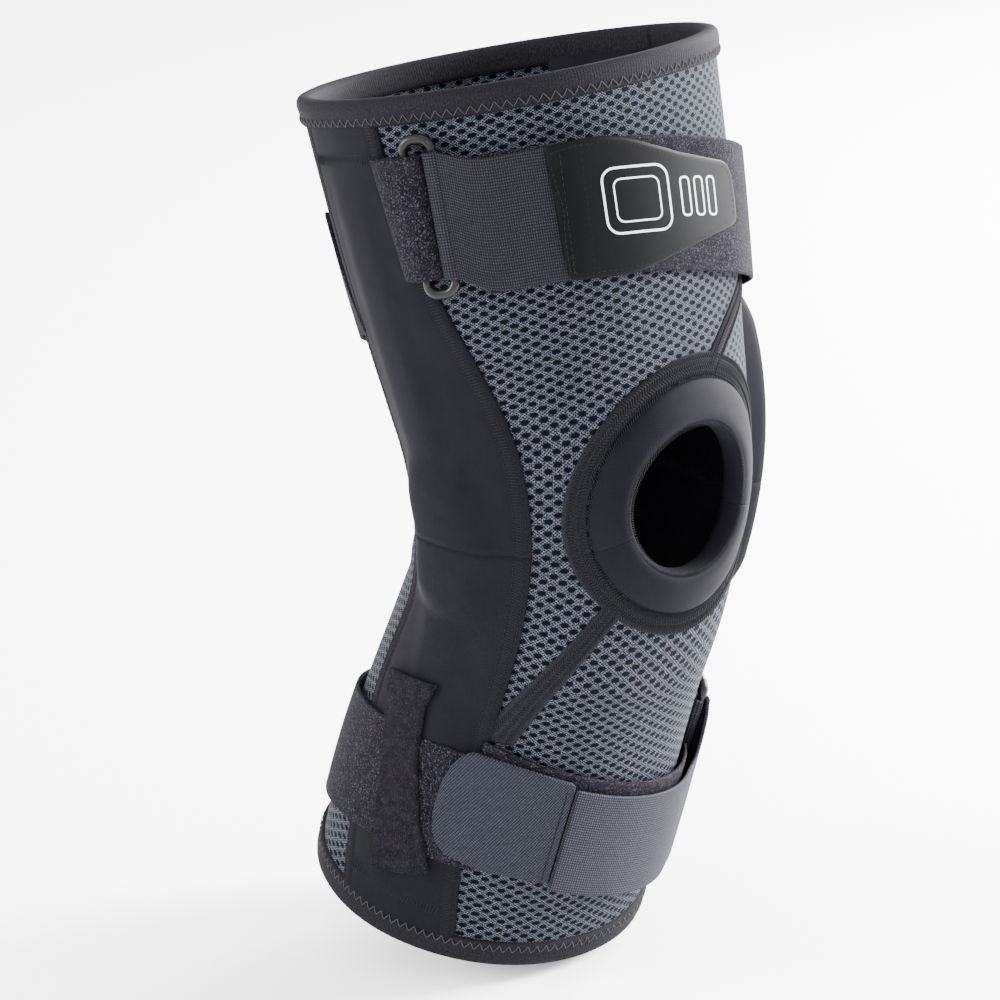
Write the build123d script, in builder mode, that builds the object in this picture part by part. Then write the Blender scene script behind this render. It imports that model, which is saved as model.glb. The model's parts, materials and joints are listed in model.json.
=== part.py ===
"""Hinged knee brace: a knitted sleeve with geared side hinges and two wrap straps.

The frame's origin lies midway between the hinge pins, on the line through both
knees of the hinge: +X is the inner (medial) side of a right leg, +Y the back,
+Z up.  The brace is drawn slightly bent, as it stands when nobody wears it.
"""
from build123d import *
from math import acos, cos, pi, radians, sin, sqrt, tan
import os

os.makedirs("parts", exist_ok=True)

# ---- driving dimensions, millimetres and degrees --------------------------------
HALF_LENGTH = 165.0
THIGH_LEAN = 12.5          # lean of the sleeve's upper tube, backwards going up
CALF_LEAN = 18.5           # lean of the sleeve's lower tube, backwards going down
BEND_HALF = 45.0           # half the length of the curved stretch at the knee

# sleeve sections: place along the spine, half width, front depth, back depth
SECTIONS = [
    (-165, 67.0, 58.5, 58.5), (-120, 66.0, 58.5, 60.5), (-60, 63.0, 58.0, 56.0),
    (0, 67.0, 61.0, 51.0), (60, 73.0, 64.0, 60.5), (120, 78.0, 68.0, 73.0),
    (165, 80.0, 69.5, 79.0),
]
KNIT = 4.0                 # spacer-knit wall
COVER_PROUD = 1.2          # side cover stands this far outside the knit
LINING_OUT, LINING_IN = -8.7, -10.1
BINDING = 9.5              # height of the end bindings
ZONE_GAP = 0.4             # between the sleeve's rigid and bending stretches

THIGH_BAR = 17.5           # hinge arms' lean, thigh and shank
SHANK_BAR = 12.5
LINK_LEAN = (THIGH_BAR - SHANK_BAR) / 2
MODULE, TEETH, PRESSURE = 1.5, 14, 25.0
PITCH_R = MODULE * TEETH / 2
BACKLASH = 0.12
HINGE_X = 64.2             # mid-plane of the arms
ARM_T, ARM_W, ARM_REACH = 2.3, 16.0, 144.0
WASHER_T, PLATE_T, PLATE_R = 0.4, 1.2, 13.5
SLIP = 0.05                # running clearance, radial and axial
RIVET_R, RIVET_HEAD_R, RIVET_HEAD_T = 3.0, 5.4, 0.7
STOP_R, STOP_Y = 1.5, -10.0
COVER_CAVITY_R, BOSS_R, BOSS_OUT = 16.5, 19.0, 70.2

LOOP = (1.4, 2.9)          # layers of the straps, outside the knit
CLOSURE = (3.3, 5.0)
TAB = (5.1, 6.8)
RING_LIFT, WIRE_R, EYE_HOLE_R, EYE_R = 5.6, 1.5, 2.5, 3.5
TONGUE_T = 1.8             # strap where it leaves its eye
FAR = 400.0                # larger than anything in the brace


# ---- the leg's shape --------------------------------------------------------------
def lean(s):
    """Backward lean of the spine at arc distance s above the knee."""
    if s >= BEND_HALF:
        return THIGH_LEAN
    if s <= -BEND_HALF:
        return -CALF_LEAN
    return -CALF_LEAN + (THIGH_LEAN + CALF_LEAN) * (s + BEND_HALF) / (2 * BEND_HALF)


def spine(s):
    """(y, z) of the spine: an arc at the knee between two straight stretches."""
    bend_r = 2 * BEND_HALF / radians(THIGH_LEAN + CALF_LEAN)
    near = max(-BEND_HALF, min(BEND_HALF, s))
    middle, here = radians(lean(0)), radians(lean(near))
    y = bend_r * (cos(middle) - cos(here))
    z = bend_r * (sin(here) - sin(middle))
    return y + (s - near) * sin(here), z + (s - near) * cos(here)


def section(s):
    """Half width, front depth and back depth of the sleeve at s."""
    for low, high in zip(SECTIONS, SECTIONS[1:]):
        if s <= high[0]:
            break
    part = (s - low[0]) / (high[0] - low[0])
    return [a + part * (b - a) for a, b in zip(low[1:], high[1:])]


def cross_plane(s):
    """Plane square to the spine: local x is X, local y points back."""
    y, z = spine(s)
    t = radians(lean(s))
    return Plane(origin=(0, y, z), x_dir=(1, 0, 0), z_dir=(0, sin(t), cos(t)))


def leg(grow):
    """Solid leg shape, grown outwards by grow."""
    with BuildPart() as form:
        for s, half, front, back in SECTIONS:
            with BuildSketch(cross_plane(s)):
                with BuildLine():
                    EllipticalCenterArc((0, 0), half + grow, back + grow, start_angle=0, arc_size=180)
                    EllipticalCenterArc((0, 0), half + grow, front + grow, start_angle=180, arc_size=180)
                make_face()
        loft()
    return form.part


def side_frame(s, back, grow):
    """Point on the +X side at s, back from the spine, and the outward direction."""
    half, front, rear = [value + grow for value in section(s)]
    depth = rear if back > 0 else front
    x = half * sqrt(1 - (back / depth) ** 2)
    y, z = spine(s)
    t = radians(lean(s))
    out = Vector(x / half ** 2, cos(t) * back / depth ** 2, -sin(t) * back / depth ** 2)
    return Vector(x, y + back * cos(t), z - back * sin(t)), out.normalized()


# ---- cutting solids -----------------------------------------------------------------
SIDE_VIEW = Plane(origin=(0, 0, 0), x_dir=(0, 1, 0), z_dir=(1, 0, 0))   # (y, z)
FRONT_VIEW = Plane(origin=(0, 0, 0), x_dir=(1, 0, 0), z_dir=(0, -1, 0))  # (x, z)

PANEL_FRONT = [(32, 180), (23, 150), (-1, 93), (-22, 54), (-31, 14), (-28, -18), (-15, -60), (5, -130),
               (14, -180)]
PANEL_BACK = [(83, 180), (72, 150), (54, 93), (39, 50), (27, 10), (29, -27), (46, -62), (54, -114),
              (60, -180)]


def side_prism(front_edge, back_edge):
    """Everything between two edges drawn in the side view, right through the leg."""
    with BuildPart() as prism:
        with BuildSketch(SIDE_VIEW.offset(-120)):
            with BuildLine():
                first = Spline(*front_edge) if len(front_edge) > 2 else Line(*front_edge)
                last = Spline(*back_edge) if len(back_edge) > 2 else Line(*back_edge)
                Line(first @ 0, last @ 0)
                Line(first @ 1, last @ 1)
            make_face()
        extrude(amount=240)
    return prism.part


def slab(centre, normal, below, above):
    """Slice of space between two planes square to normal."""
    level = Plane(origin=centre, z_dir=normal)
    with BuildPart() as slice_:
        with BuildSketch(level.offset(-below)):
            Rectangle(FAR, FAR)
        extrude(amount=below + above)
    return slice_.part


def plan_prism(*corners):
    """Upright prism over corners drawn in the plan view."""
    with BuildPart() as prism:
        with BuildSketch(Plane.XY.offset(-FAR / 2)):
            with BuildLine():
                Polyline(*corners, close=True)
            make_face()
        extrude(amount=FAR)
    return prism.part


def front_prism(*corners):
    """Prism along Y over corners drawn in the front view, in front of the leg's middle."""
    with BuildPart() as prism:
        with BuildSketch(FRONT_VIEW):
            with BuildLine():
                Polyline(*corners, close=True)
            make_face()
        extrude(amount=120)
    return prism.part


def above(point, slope_angle, gap=0.0):
    """Half space over a plane through (y, z) point, leaning slope_angle in the side view."""
    a = radians(slope_angle)
    return slab((0, *point), (0, sin(a), cos(a)), -gap, FAR)


def below(point, slope_angle, gap=0.0):
    a = radians(slope_angle)
    return slab((0, *point), (0, sin(a), cos(a)), FAR, -gap)


FRONT = side_prism([(-150, 180), (-150, -180)], PANEL_FRONT)
SIDES = side_prism(PANEL_FRONT, PANEL_BACK)
BACK = side_prism(PANEL_BACK, [(180, 180), (180, -180)])
MEDIAL = plan_prism((0, -120), (120, -120), (120, 160), (0, 160))

# the thigh stretch ends on a plane that rises to the front, the calf's on a square one
THIGH_END, THIGH_SLOPE = (-54.0, 88.5), 23.0
CALF_END = spine(-65)
TOP_S, BOTTOM_S = HALF_LENGTH - BINDING, -HALF_LENGTH + BINDING

SKIN, KNIT_BACK = leg(0), leg(-KNIT)
COVER_SKIN, POCKET_SKIN, LINING_SKIN = leg(COVER_PROUD), leg(LINING_OUT), leg(LINING_IN)


def tube_zone(low, high):
    """Stretch of space between two planes, each given as (y, z) and lean."""
    with BuildPart() as zone:
        add(above(*low))
        add(below(*high), mode=Mode.INTERSECT)
    return zone.part


THIGH_ZONE = tube_zone((THIGH_END, THIGH_SLOPE, ZONE_GAP / 2), (spine(TOP_S), THIGH_LEAN))
KNEE_ZONE = tube_zone((CALF_END, -CALF_LEAN, ZONE_GAP / 2), (THIGH_END, THIGH_SLOPE, -ZONE_GAP / 2))
CALF_ZONE = tube_zone((spine(BOTTOM_S), -CALF_LEAN), (CALF_END, -CALF_LEAN, -ZONE_GAP / 2))


# ---- writing pieces -------------------------------------------------------------------
def save(shape, name):
    shape.label = name
    export_step(shape, f"parts/{name}.step")


def save_pair(shape, name):
    """Write a piece drawn on the +X side, and its mirror image on the other side."""
    save(shape, f"medial_{name}")
    save(mirror(shape, about=Plane.YZ, mode=Mode.PRIVATE), f"lateral_{name}")


def skin_piece(outside, inside, *limits):
    """Stretch of the layer between two leg shapes, cut by limits."""
    with BuildPart() as piece:
        add(outside)
        add(inside, mode=Mode.SUBTRACT)
        for limit in limits:
            add(limit, mode=Mode.INTERSECT)
    return piece.part


# ---- hinge ------------------------------------------------------------------------------
def pin_place(sign):
    """(y, z) of the upper (+1) or lower (-1) hinge pin."""
    return sign * PITCH_R * sin(radians(LINK_LEAN)), sign * PITCH_R * cos(radians(LINK_LEAN))


def hinge_plane(x, pin, lean_angle):
    """Plane facing +X at a pin, with local y up along a member leaning back."""
    a = radians(lean_angle)
    return Plane(origin=(x, *pin), x_dir=(0, cos(a), -sin(a)), z_dir=(1, 0, 0))


def tooth_outline(tooth_up):
    """Points of an involute wheel, with a tooth or a gap on local +y."""
    def involute(angle):
        return tan(angle) - angle

    base = PITCH_R * cos(radians(PRESSURE))
    outer, root = PITCH_R + 0.8 * MODULE, PITCH_R - MODULE
    half = pi / (2 * TEETH) - BACKLASH / (4 * PITCH_R) + involute(radians(PRESSURE))
    steps = 5
    flank = [(root, half)]
    for k in range(steps):
        r = base + (outer - base) * k / (steps - 1)
        flank.append((r, half - involute(acos(base / r))))
    points = []
    for tooth in range(TEETH):
        middle = pi / 2 + (tooth + (0 if tooth_up else 0.5)) * 2 * pi / TEETH
        for r, a in flank:
            points.append((r * cos(middle - a), r * sin(middle - a)))
        for r, a in reversed(flank):
            points.append((r * cos(middle + a), r * sin(middle + a)))
    return points


def bar_stations(sign, arm_lean):
    """Places along an arm as (point, outward direction), from its root to its end."""
    pin = pin_place(sign)
    a = radians(arm_lean)
    stations = [(Vector(HINGE_X, pin[0] + 11 * sin(a), pin[1] + 11 * cos(a) * sign), Vector(1, 0, 0))]
    for reach in (42, 76, 110, ARM_REACH):
        y, z = pin[0] + reach * sin(a), pin[1] + reach * cos(a) * sign
        t = radians(lean(sign * BEND_HALF))
        foot_y, foot_z = spine(sign * BEND_HALF)
        s = sign * BEND_HALF + (y - foot_y) * sin(t) + (z - foot_z) * cos(t)
        back = (y - foot_y) * cos(t) - (z - foot_z) * sin(t)
        point, out = side_frame(s, back, 0)
        stations.append((point + out * (LINING_OUT - 0.3) / 2, out))
    return stations


def bar(sign, arm_lean, extra_t=0.0, extra_w=0.0, extra_end=0.0):
    """The arm's bar, bent and twisted to follow the leg, or the pocket that it lies in."""
    direction = Vector(0, sin(radians(arm_lean)), cos(radians(arm_lean)) * sign)
    stations = bar_stations(sign, arm_lean)
    last, out = stations[-1]
    stations[-1] = (last + direction * extra_end, out)
    with BuildPart() as strip:
        for point, out in stations:
            face = Plane(origin=point, x_dir=out - direction * out.dot(direction), z_dir=direction)
            with BuildSketch(face):
                Rectangle(ARM_T + extra_t, ARM_W + extra_w)
        loft(ruled=True)
    return strip.part


def hinge_arm(sign, arm_lean):
    """Arm with its toothed head, pin bore, extension lug and pocket bar."""
    pin = pin_place(sign)
    back_face = HINGE_X - ARM_T / 2
    lug_foot = sign * (-PITCH_R + STOP_R + 0.2)
    with BuildPart() as arm:
        with BuildSketch(hinge_plane(back_face, pin, LINK_LEAN)):
            with BuildLine():
                Polyline(*tooth_outline(sign > 0), close=True)
            make_face()
        extrude(amount=ARM_T)
        with BuildSketch(hinge_plane(back_face, pin, sign * arm_lean)):
            with Locations((0, sign * 7)):
                Rectangle(ARM_W, 14)
            with Locations((-10.2, lug_foot + sign * 5.4)):
                Rectangle(4.6, 10.8)
        extrude(amount=ARM_T)
        add(bar(sign, arm_lean))
        with BuildSketch(hinge_plane(back_face - 1, pin, LINK_LEAN)):
            Circle(RIVET_R + SLIP)
        extrude(amount=ARM_T + 2, mode=Mode.SUBTRACT)
    return arm.part


def link_plate(x):
    """Side plate of the hinge: two pin holes and the stop pin's hole."""
    with BuildPart() as plate:
        with BuildSketch(hinge_plane(x, (0, 0), LINK_LEAN)):
            SlotCenterToCenter(2 * PITCH_R, 2 * PLATE_R, rotation=90)
            with Locations((0, PITCH_R), (0, -PITCH_R)):
                Circle(RIVET_R, mode=Mode.SUBTRACT)
            with Locations((STOP_Y, 0)):
                Circle(STOP_R, mode=Mode.SUBTRACT)
        extrude(amount=PLATE_T)
    return plate.part


STACK = ARM_T / 2 + SLIP + WASHER_T + SLIP      # from the arms' mid-plane to a plate


def pivot_rivets():
    with BuildPart() as rivets:
        for sign in (1, -1):
            low = HINGE_X - STACK - PLATE_T
            with BuildSketch(hinge_plane(low, pin_place(sign), LINK_LEAN)):
                Circle(RIVET_R)
            extrude(amount=2 * (STACK + PLATE_T))
            for x in (low - RIVET_HEAD_T, HINGE_X + STACK + PLATE_T):
                with BuildSketch(hinge_plane(x, pin_place(sign), LINK_LEAN)):
                    Circle(RIVET_HEAD_R)
                extrude(amount=RIVET_HEAD_T)
    return rivets.part


def pivot_washers():
    with BuildPart() as washers:
        for sign in (1, -1):
            for x in (HINGE_X - ARM_T / 2 - SLIP - WASHER_T, HINGE_X + ARM_T / 2 + SLIP):
                with BuildSketch(hinge_plane(x, pin_place(sign), LINK_LEAN)):
                    Circle(7.5)
                    Circle(RIVET_R + SLIP, mode=Mode.SUBTRACT)
                extrude(amount=WASHER_T)
    return washers.part


def stop_pin():
    with BuildPart() as pin:
        with BuildSketch(hinge_plane(HINGE_X - STACK - PLATE_T, (0, 0), LINK_LEAN)):
            with Locations((STOP_Y, 0)):
                Circle(STOP_R)
        extrude(amount=2 * (STACK + PLATE_T))
    return pin.part


UPPER_ARM, LOWER_ARM = hinge_arm(1, THIGH_BAR), hinge_arm(-1, SHANK_BAR)
save_pair(UPPER_ARM, "upper_arm")
save_pair(LOWER_ARM, "lower_arm")
save_pair(link_plate(HINGE_X - STACK - PLATE_T), "inner_plate")
save_pair(link_plate(HINGE_X + STACK), "outer_plate")
save_pair(pivot_rivets(), "pivot_rivets")
save_pair(pivot_washers(), "pivot_washers")
save_pair(stop_pin(), "stop_pin")


# ---- side panels: cover over the arms, lining under them -----------------------------------
def hinge_round(radius, low, high):
    """Round-ended block over the two pins, from low to high in X."""
    with BuildPart() as block:
        with BuildSketch(hinge_plane(low, (0, 0), LINK_LEAN)):
            SlotCenterToCenter(2 * PITCH_R, 2 * radius, rotation=90)
        extrude(amount=high - low)
    return block.part


def side_cover(zone, boss):
    """Padded cover of one stretch, hollow where the hinge and its arms lie."""
    with BuildPart() as cover:
        add(skin_piece(COVER_SKIN, POCKET_SKIN, SIDES, MEDIAL, zone))
        if boss:
            add(hinge_round(BOSS_R, HINGE_X - 1, BOSS_OUT))
            add(hinge_round(COVER_CAVITY_R, 50, HINGE_X + STACK + PLATE_T + RIVET_HEAD_T + 0.3),
                mode=Mode.SUBTRACT)
        for sign, arm_lean in ((1, THIGH_BAR), (-1, SHANK_BAR)):
            add(bar(sign, arm_lean, 1.2, 1.6, 1.5), mode=Mode.SUBTRACT)
    return cover.part


for zone, zone_name in ((THIGH_ZONE, "thigh"), (KNEE_ZONE, "knee"), (CALF_ZONE, "calf")):
    save_pair(side_cover(zone, zone_name == "knee"), f"{zone_name}_cover")
    save_pair(skin_piece(POCKET_SKIN, LINING_SKIN, SIDES, MEDIAL, zone), f"{zone_name}_lining")

# ---- knitted sleeve ---------------------------------------------------------------------------
PATELLA_X, PATELLA_Z = -4.0, 15.0
HOLE_A, HOLE_B = 26.0, 27.0
RING_A, RING_B = 43.0, 44.5
TAPE_IN, TAPE_OUT = 1.5, 9.0


def patella_tube(half_x, half_z):
    """Elliptical bar along Y through the kneecap opening."""
    with BuildPart() as tube:
        with BuildSketch(FRONT_VIEW):
            with Locations((PATELLA_X, PATELLA_Z)):
                Ellipse(half_x, half_z)
        extrude(amount=120)
    return tube.part


for zone, zone_name in ((THIGH_ZONE, "thigh"), (CALF_ZONE, "calf")):
    save(skin_piece(SKIN, KNIT_BACK, FRONT, zone), f"{zone_name}_front_mesh")
    save(skin_piece(SKIN, KNIT_BACK, BACK, zone), f"{zone_name}_back_mesh")
save(skin_piece(SKIN, KNIT_BACK, BACK, KNEE_ZONE), "knee_back_mesh")

with BuildPart() as knee_front:
    add(skin_piece(SKIN, KNIT_BACK, FRONT, KNEE_ZONE))
    add(patella_tube(HOLE_A, HOLE_B), mode=Mode.SUBTRACT)
save(knee_front.part, "knee_front_mesh")

with BuildPart() as buttress:
    add(skin_piece(leg(6.0), leg(0.4), patella_tube(RING_A, RING_B)))
    add(patella_tube(HOLE_A, HOLE_B), mode=Mode.SUBTRACT)
save(buttress.part, "patella_buttress")

with BuildPart() as seam_tape:
    add(skin_piece(leg(1.2), leg(0.3), patella_tube(RING_A + TAPE_OUT, RING_B + TAPE_OUT), FRONT, KNEE_ZONE))
    add(patella_tube(RING_A + TAPE_IN, RING_B + TAPE_IN), mode=Mode.SUBTRACT)
save(seam_tape.part, "patella_seam_tape")

BINDING_OUT, BINDING_IN = leg(1.6), leg(-5.0)
save(skin_piece(BINDING_OUT, BINDING_IN, above(spine(TOP_S), THIGH_LEAN)), "top_binding")
save(skin_piece(BINDING_OUT, BINDING_IN, below(spine(BOTTOM_S), -CALF_LEAN)), "bottom_binding")

# ---- straps -----------------------------------------------------------------------------------
UPPER_W, LOWER_W = 47.5, 45.0
UPPER_MIDDLE, UPPER_NORMAL = (0, 0, 102.7), (0.19, 0.42, 1)
LOOP_MIDDLE, LOOP_NORMAL = (0, 0, -120.4), (0.24, -0.15, 1)
FRONT_MIDDLE, FRONT_NORMAL = (0, 0, -117.0), (0.25, -0.40, 1)
RING_HALF = 5.4            # from a ring's middle line to a bar
RING_SPARE = 8.0           # ring's outer height beyond the strap's width
SEAM_X = -32.0             # where the lower elastic is sewn to its hook tab
PATCH_X = 18.0             # far end of the hook patch under the tab
TAB_X = -50.0              # where the upper elastic is sewn to its pull tab


def band(middle, normal, width):
    return slab(middle, normal, width / 2, width / 2)


def ring_plane(side, s, back):
    """Plane of a wire ring on one side: local x runs forward along the strap."""
    point, out = side_frame(s, back, RING_LIFT)
    up = side_frame(s + 5, back, 0)[0] - side_frame(s - 5, back, 0)[0]
    up = (up - out * up.dot(out)).normalized()
    forward = out.cross(up)
    if forward.Y > 0:
        forward = forward * -1
    flip = [Vector(v.X * side, v.Y, v.Z) for v in (point, out, forward)]
    return Plane(origin=flip[0], x_dir=flip[2], z_dir=flip[1])


def ring(level, tall):
    """Rectangular wire ring with rounded corners."""
    with BuildPart() as wire:
        with BuildSketch(level.offset(-WIRE_R)):
            RectangleRounded(2 * (RING_HALF + WIRE_R), tall, 3.5)
            RectangleRounded(2 * (RING_HALF - WIRE_R), tall - 4 * WIRE_R, 1.5, mode=Mode.SUBTRACT)
        extrude(amount=2 * WIRE_R)
    return wire.part


def ring_block(level, start, end, width, depth=150.0):
    """Block on a ring's plane, from start to end along the strap."""
    with BuildPart() as block:
        with BuildSketch(level.offset(-depth)):
            with Locations(((start + end) / 2, 0)):
                Rectangle(end - start, width)
        extrude(amount=depth + 20)
    return block.part


def eye(level, side, width):
    """Strap end folded round one bar of the ring: a tube with a short tongue."""
    start = level.origin + level.x_dir * (side * RING_HALF) - level.y_dir * (width / 2)
    with BuildPart() as fold:
        with BuildSketch(Plane(origin=start, x_dir=level.x_dir, z_dir=level.y_dir)):
            Circle(EYE_R)
            with Locations((side * 4, 0)):
                Rectangle(8, TONGUE_T)
            Circle(EYE_HOLE_R, mode=Mode.SUBTRACT)
        extrude(amount=width)
    return fold.part


def ringed_layer(level, side, width, *pieces):
    """A strap layer joined to its eye."""
    with BuildPart() as strap:
        for piece in pieces:
            add(piece)
        add(eye(level, side, width))
        add(EYE_FLOOR, mode=Mode.SUBTRACT)
    return strap.part


def layer(span, *limits):
    return skin_piece(leg(span[1]), leg(span[0]), *limits)


EYE_FLOOR = leg(COVER_PROUD + 0.3)
UPPER_LEVEL = ring_plane(-1, 122.0, -22.0)
LOWER_LEVEL = ring_plane(1, -103.0, -30.0)
UPPER_BAND = band(UPPER_MIDDLE, UPPER_NORMAL, UPPER_W)
LOOP_BAND = band(LOOP_MIDDLE, LOOP_NORMAL, LOWER_W)
FRONT_BAND = band(FRONT_MIDDLE, FRONT_NORMAL, LOWER_W)
EYE_END = RING_HALF + EYE_R - 0.6
EYE_W = 46.0               # strap where it folds round its ring

save(ring(UPPER_LEVEL, EYE_W + RING_SPARE), "upper_ring")
save(ring(LOWER_LEVEL, EYE_W + RING_SPARE), "lower_ring")

for level, zone_name in ((UPPER_LEVEL, "upper"), (LOWER_LEVEL, "lower")):
    patch = layer((LOOP[0], RING_LIFT + 0.9), ring_block(level, -EYE_END - 14, -EYE_END, EYE_W, 12.0))
    save(ringed_layer(level, -1, EYE_W, patch), f"{zone_name}_ring_chafe")

upper_reach = ring_block(UPPER_LEVEL, EYE_END, 160, 120)
upper_elastic = layer(CLOSURE, UPPER_BAND, upper_reach,
                      plan_prism((-120, -120), (TAB_X, -120), (TAB_X, 60), (-120, 60)))
save(ringed_layer(UPPER_LEVEL, 1, EYE_W, upper_elastic), "upper_elastic_strap")
save(layer(CLOSURE, UPPER_BAND, plan_prism((TAB_X, -120), (PATCH_X, -120), (PATCH_X, 0), (TAB_X, 0))),
     "upper_hook_patch")
save(layer(TAB, UPPER_BAND, front_prism((TAB_X - 3, 165), (-52, 98), (-32, 102), (-8, 108), (21, 108), (28, 114),
                                        (28, 131), (22, 137), (-12, 146), (-34, 158))), "upper_pull_tab")

lower_elastic = layer(CLOSURE, FRONT_BAND, ring_block(LOWER_LEVEL, EYE_END, 160, 120),
                      plan_prism((SEAM_X, -120), (120, -120), (120, 60), (SEAM_X, 60)))
save(ringed_layer(LOWER_LEVEL, 1, EYE_W, lower_elastic), "lower_elastic_strap")
save(layer(CLOSURE, FRONT_BAND, plan_prism((SEAM_X, -120), (SEAM_X, 12), (-120, 12), (-120, -120))),
     "lower_hook_tab")

LATERAL = plan_prism((0, -120), (-120, -120), (-120, 160), (0, 160))

# loop straps: sewn to one panel's edge, round the back, ending under the closure
save(layer(LOOP, UPPER_BAND, plan_prism((-120, 60), (-20, 60), (-20, 0), (-44, 0), (-44, -120), (120, -120),
                                        (120, 160), (-120, 160))), "upper_loop_strap")
save(layer(LOOP, LOOP_BAND, plan_prism((62, 160), (62, 50), (0, 50), (0, 0), (-15, 0), (-15, -120), (-120, -120),
                                       (-120, 160)), above(spine(BOTTOM_S), -CALF_LEAN, 0.5)), "lower_loop_strap")


def keeper(outline, strap_band, *limits):
    """Sewn strip that the loop strap slides under, standing on the panel at both ends."""
    with BuildPart() as prism:
        with BuildSketch(SIDE_VIEW.offset(-120)):
            with BuildLine():
                Polyline(*outline, close=True)
            make_face()
        extrude(amount=240)
    with BuildPart() as strip:
        add(layer((LOOP[0], CLOSURE[0] + 1.4), prism.part, *limits))
        add(layer((LOOP[0] - 1, CLOSURE[0]), strap_band), mode=Mode.SUBTRACT)
    return strip.part


save(keeper([(33, -57), (8, -57), (14, -68), (17, -84), (17, -112), (15, -133), (38, -135), (34, -88)],
            band(LOOP_MIDDLE, LOOP_NORMAL, LOWER_W + 1.5), LATERAL), "lower_strap_keeper")
save(keeper([(8, 114), (36, 114), (32, 87), (30, 46), (6, 46), (12, 87)],
            band(UPPER_MIDDLE, UPPER_NORMAL, UPPER_W + 1.5), MEDIAL), "upper_strap_keeper")
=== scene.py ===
"""Looks of the hinged knee brace: knitted sleeve, side panels, kneecap ring, straps and stitching.

Lengths inside the shape functions are millimetres; meshes are written in metres.
A place on the sleeve is (s, phi): s runs up the bent spine from the knee, and phi
turns about it in degrees, 0 at the medial side, 90 at the back, 180 lateral, 270 front.
"""
import json
import math

import bpy
import numpy as np
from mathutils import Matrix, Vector


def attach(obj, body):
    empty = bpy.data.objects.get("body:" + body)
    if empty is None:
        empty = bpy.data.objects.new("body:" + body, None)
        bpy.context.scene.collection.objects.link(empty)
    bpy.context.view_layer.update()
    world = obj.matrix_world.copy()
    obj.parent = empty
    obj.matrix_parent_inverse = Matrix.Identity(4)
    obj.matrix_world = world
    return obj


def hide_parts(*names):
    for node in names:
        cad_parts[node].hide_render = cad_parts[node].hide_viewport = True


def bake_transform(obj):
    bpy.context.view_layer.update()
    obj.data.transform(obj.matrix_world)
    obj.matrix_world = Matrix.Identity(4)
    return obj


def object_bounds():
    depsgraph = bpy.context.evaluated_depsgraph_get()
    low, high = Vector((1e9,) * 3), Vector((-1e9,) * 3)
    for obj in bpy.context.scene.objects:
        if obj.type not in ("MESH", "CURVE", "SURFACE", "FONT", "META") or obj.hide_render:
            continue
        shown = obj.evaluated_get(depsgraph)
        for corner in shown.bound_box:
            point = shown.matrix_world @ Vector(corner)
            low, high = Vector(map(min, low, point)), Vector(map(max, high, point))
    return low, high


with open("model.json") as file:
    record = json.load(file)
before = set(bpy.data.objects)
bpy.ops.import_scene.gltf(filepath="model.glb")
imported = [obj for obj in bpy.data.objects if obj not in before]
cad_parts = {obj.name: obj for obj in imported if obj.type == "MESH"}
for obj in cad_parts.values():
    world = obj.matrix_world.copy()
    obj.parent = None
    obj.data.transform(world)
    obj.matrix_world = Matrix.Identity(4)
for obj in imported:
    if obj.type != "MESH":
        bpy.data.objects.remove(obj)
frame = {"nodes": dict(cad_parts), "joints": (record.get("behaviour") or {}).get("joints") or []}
CAD_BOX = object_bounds()
MM = 0.001
JOINTS = {j["name"]: j for j in frame["joints"]}

# ---- driving dimensions of the sleeve ----------------------------------------------
HALF_LENGTH = 165.0
THIGH_LEAN, CALF_LEAN, BEND_HALF = 12.5, 18.5, 45.0
STATION = np.array([-165, -120, -60, 0, 60, 120, 165.0])
HALF_WIDTH = np.array([67, 66, 63, 67, 73, 78, 80.0])
FRONT_DEPTH = np.array([58.5, 58.5, 58, 61, 64, 68, 69.5])
BACK_DEPTH = np.array([58.5, 60.5, 56, 51, 60.5, 73, 79.0])
PANEL_FRONT = [(32, 180), (23, 150), (-1, 93), (-22, 54), (-31, 14), (-28, -18), (-15, -60), (5, -130),
               (14, -180)]
PANEL_BACK = [(83, 180), (72, 150), (54, 93), (39, 50), (27, 10), (29, -27), (46, -62), (54, -114),
              (60, -180)]
BINDING = 9.5
KNIT = 3.6
MID_S = 0.0                                  # the sleeve's pieces are cut here, for the two hinge pins


def spline(x, xs, ys):
    """Natural cubic spline through (xs, ys), read at x."""
    xs, ys = np.asarray(xs, float), np.asarray(ys, float)
    h, n = np.diff(xs), len(xs)
    system, right = np.eye(n), np.zeros(n)
    for i in range(1, n - 1):
        system[i, i - 1:i + 2] = h[i - 1], 2 * (h[i - 1] + h[i]), h[i]
        right[i] = 6 * ((ys[i + 1] - ys[i]) / h[i] - (ys[i] - ys[i - 1]) / h[i - 1])
    m = np.linalg.solve(system, right)
    i = np.clip(np.searchsorted(xs, x) - 1, 0, n - 2)
    d, step = x - xs[i], h[i]
    slope = (ys[i + 1] - ys[i]) / step - step * (2 * m[i] + m[i + 1]) / 6
    return ys[i] + d * (slope + d * (m[i] / 2 + d * (m[i + 1] - m[i]) / (6 * step)))


def ramp(x, low, high):
    """Smooth step from 0 at low to 1 at high."""
    t = np.clip((x - low) / (high - low), 0, 1)
    return t * t * (3 - 2 * t)


# ---- the leg's surface ----------------------------------------------------------------
def lean(s):
    """Backward lean of the spine at s, in radians."""
    part = np.clip((s + BEND_HALF) / (2 * BEND_HALF), 0, 1)
    return np.radians(-CALF_LEAN + (THIGH_LEAN + CALF_LEAN) * part)


def spine(s):
    radius = 2 * BEND_HALF / math.radians(THIGH_LEAN + CALF_LEAN)
    near = np.clip(s, -BEND_HALF, BEND_HALF)
    middle, here = lean(np.float64(0)), lean(s)
    y = radius * (np.cos(middle) - np.cos(here)) + (s - near) * np.sin(here)
    z = radius * (np.sin(here) - np.sin(middle)) + (s - near) * np.cos(here)
    return y, z


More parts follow.
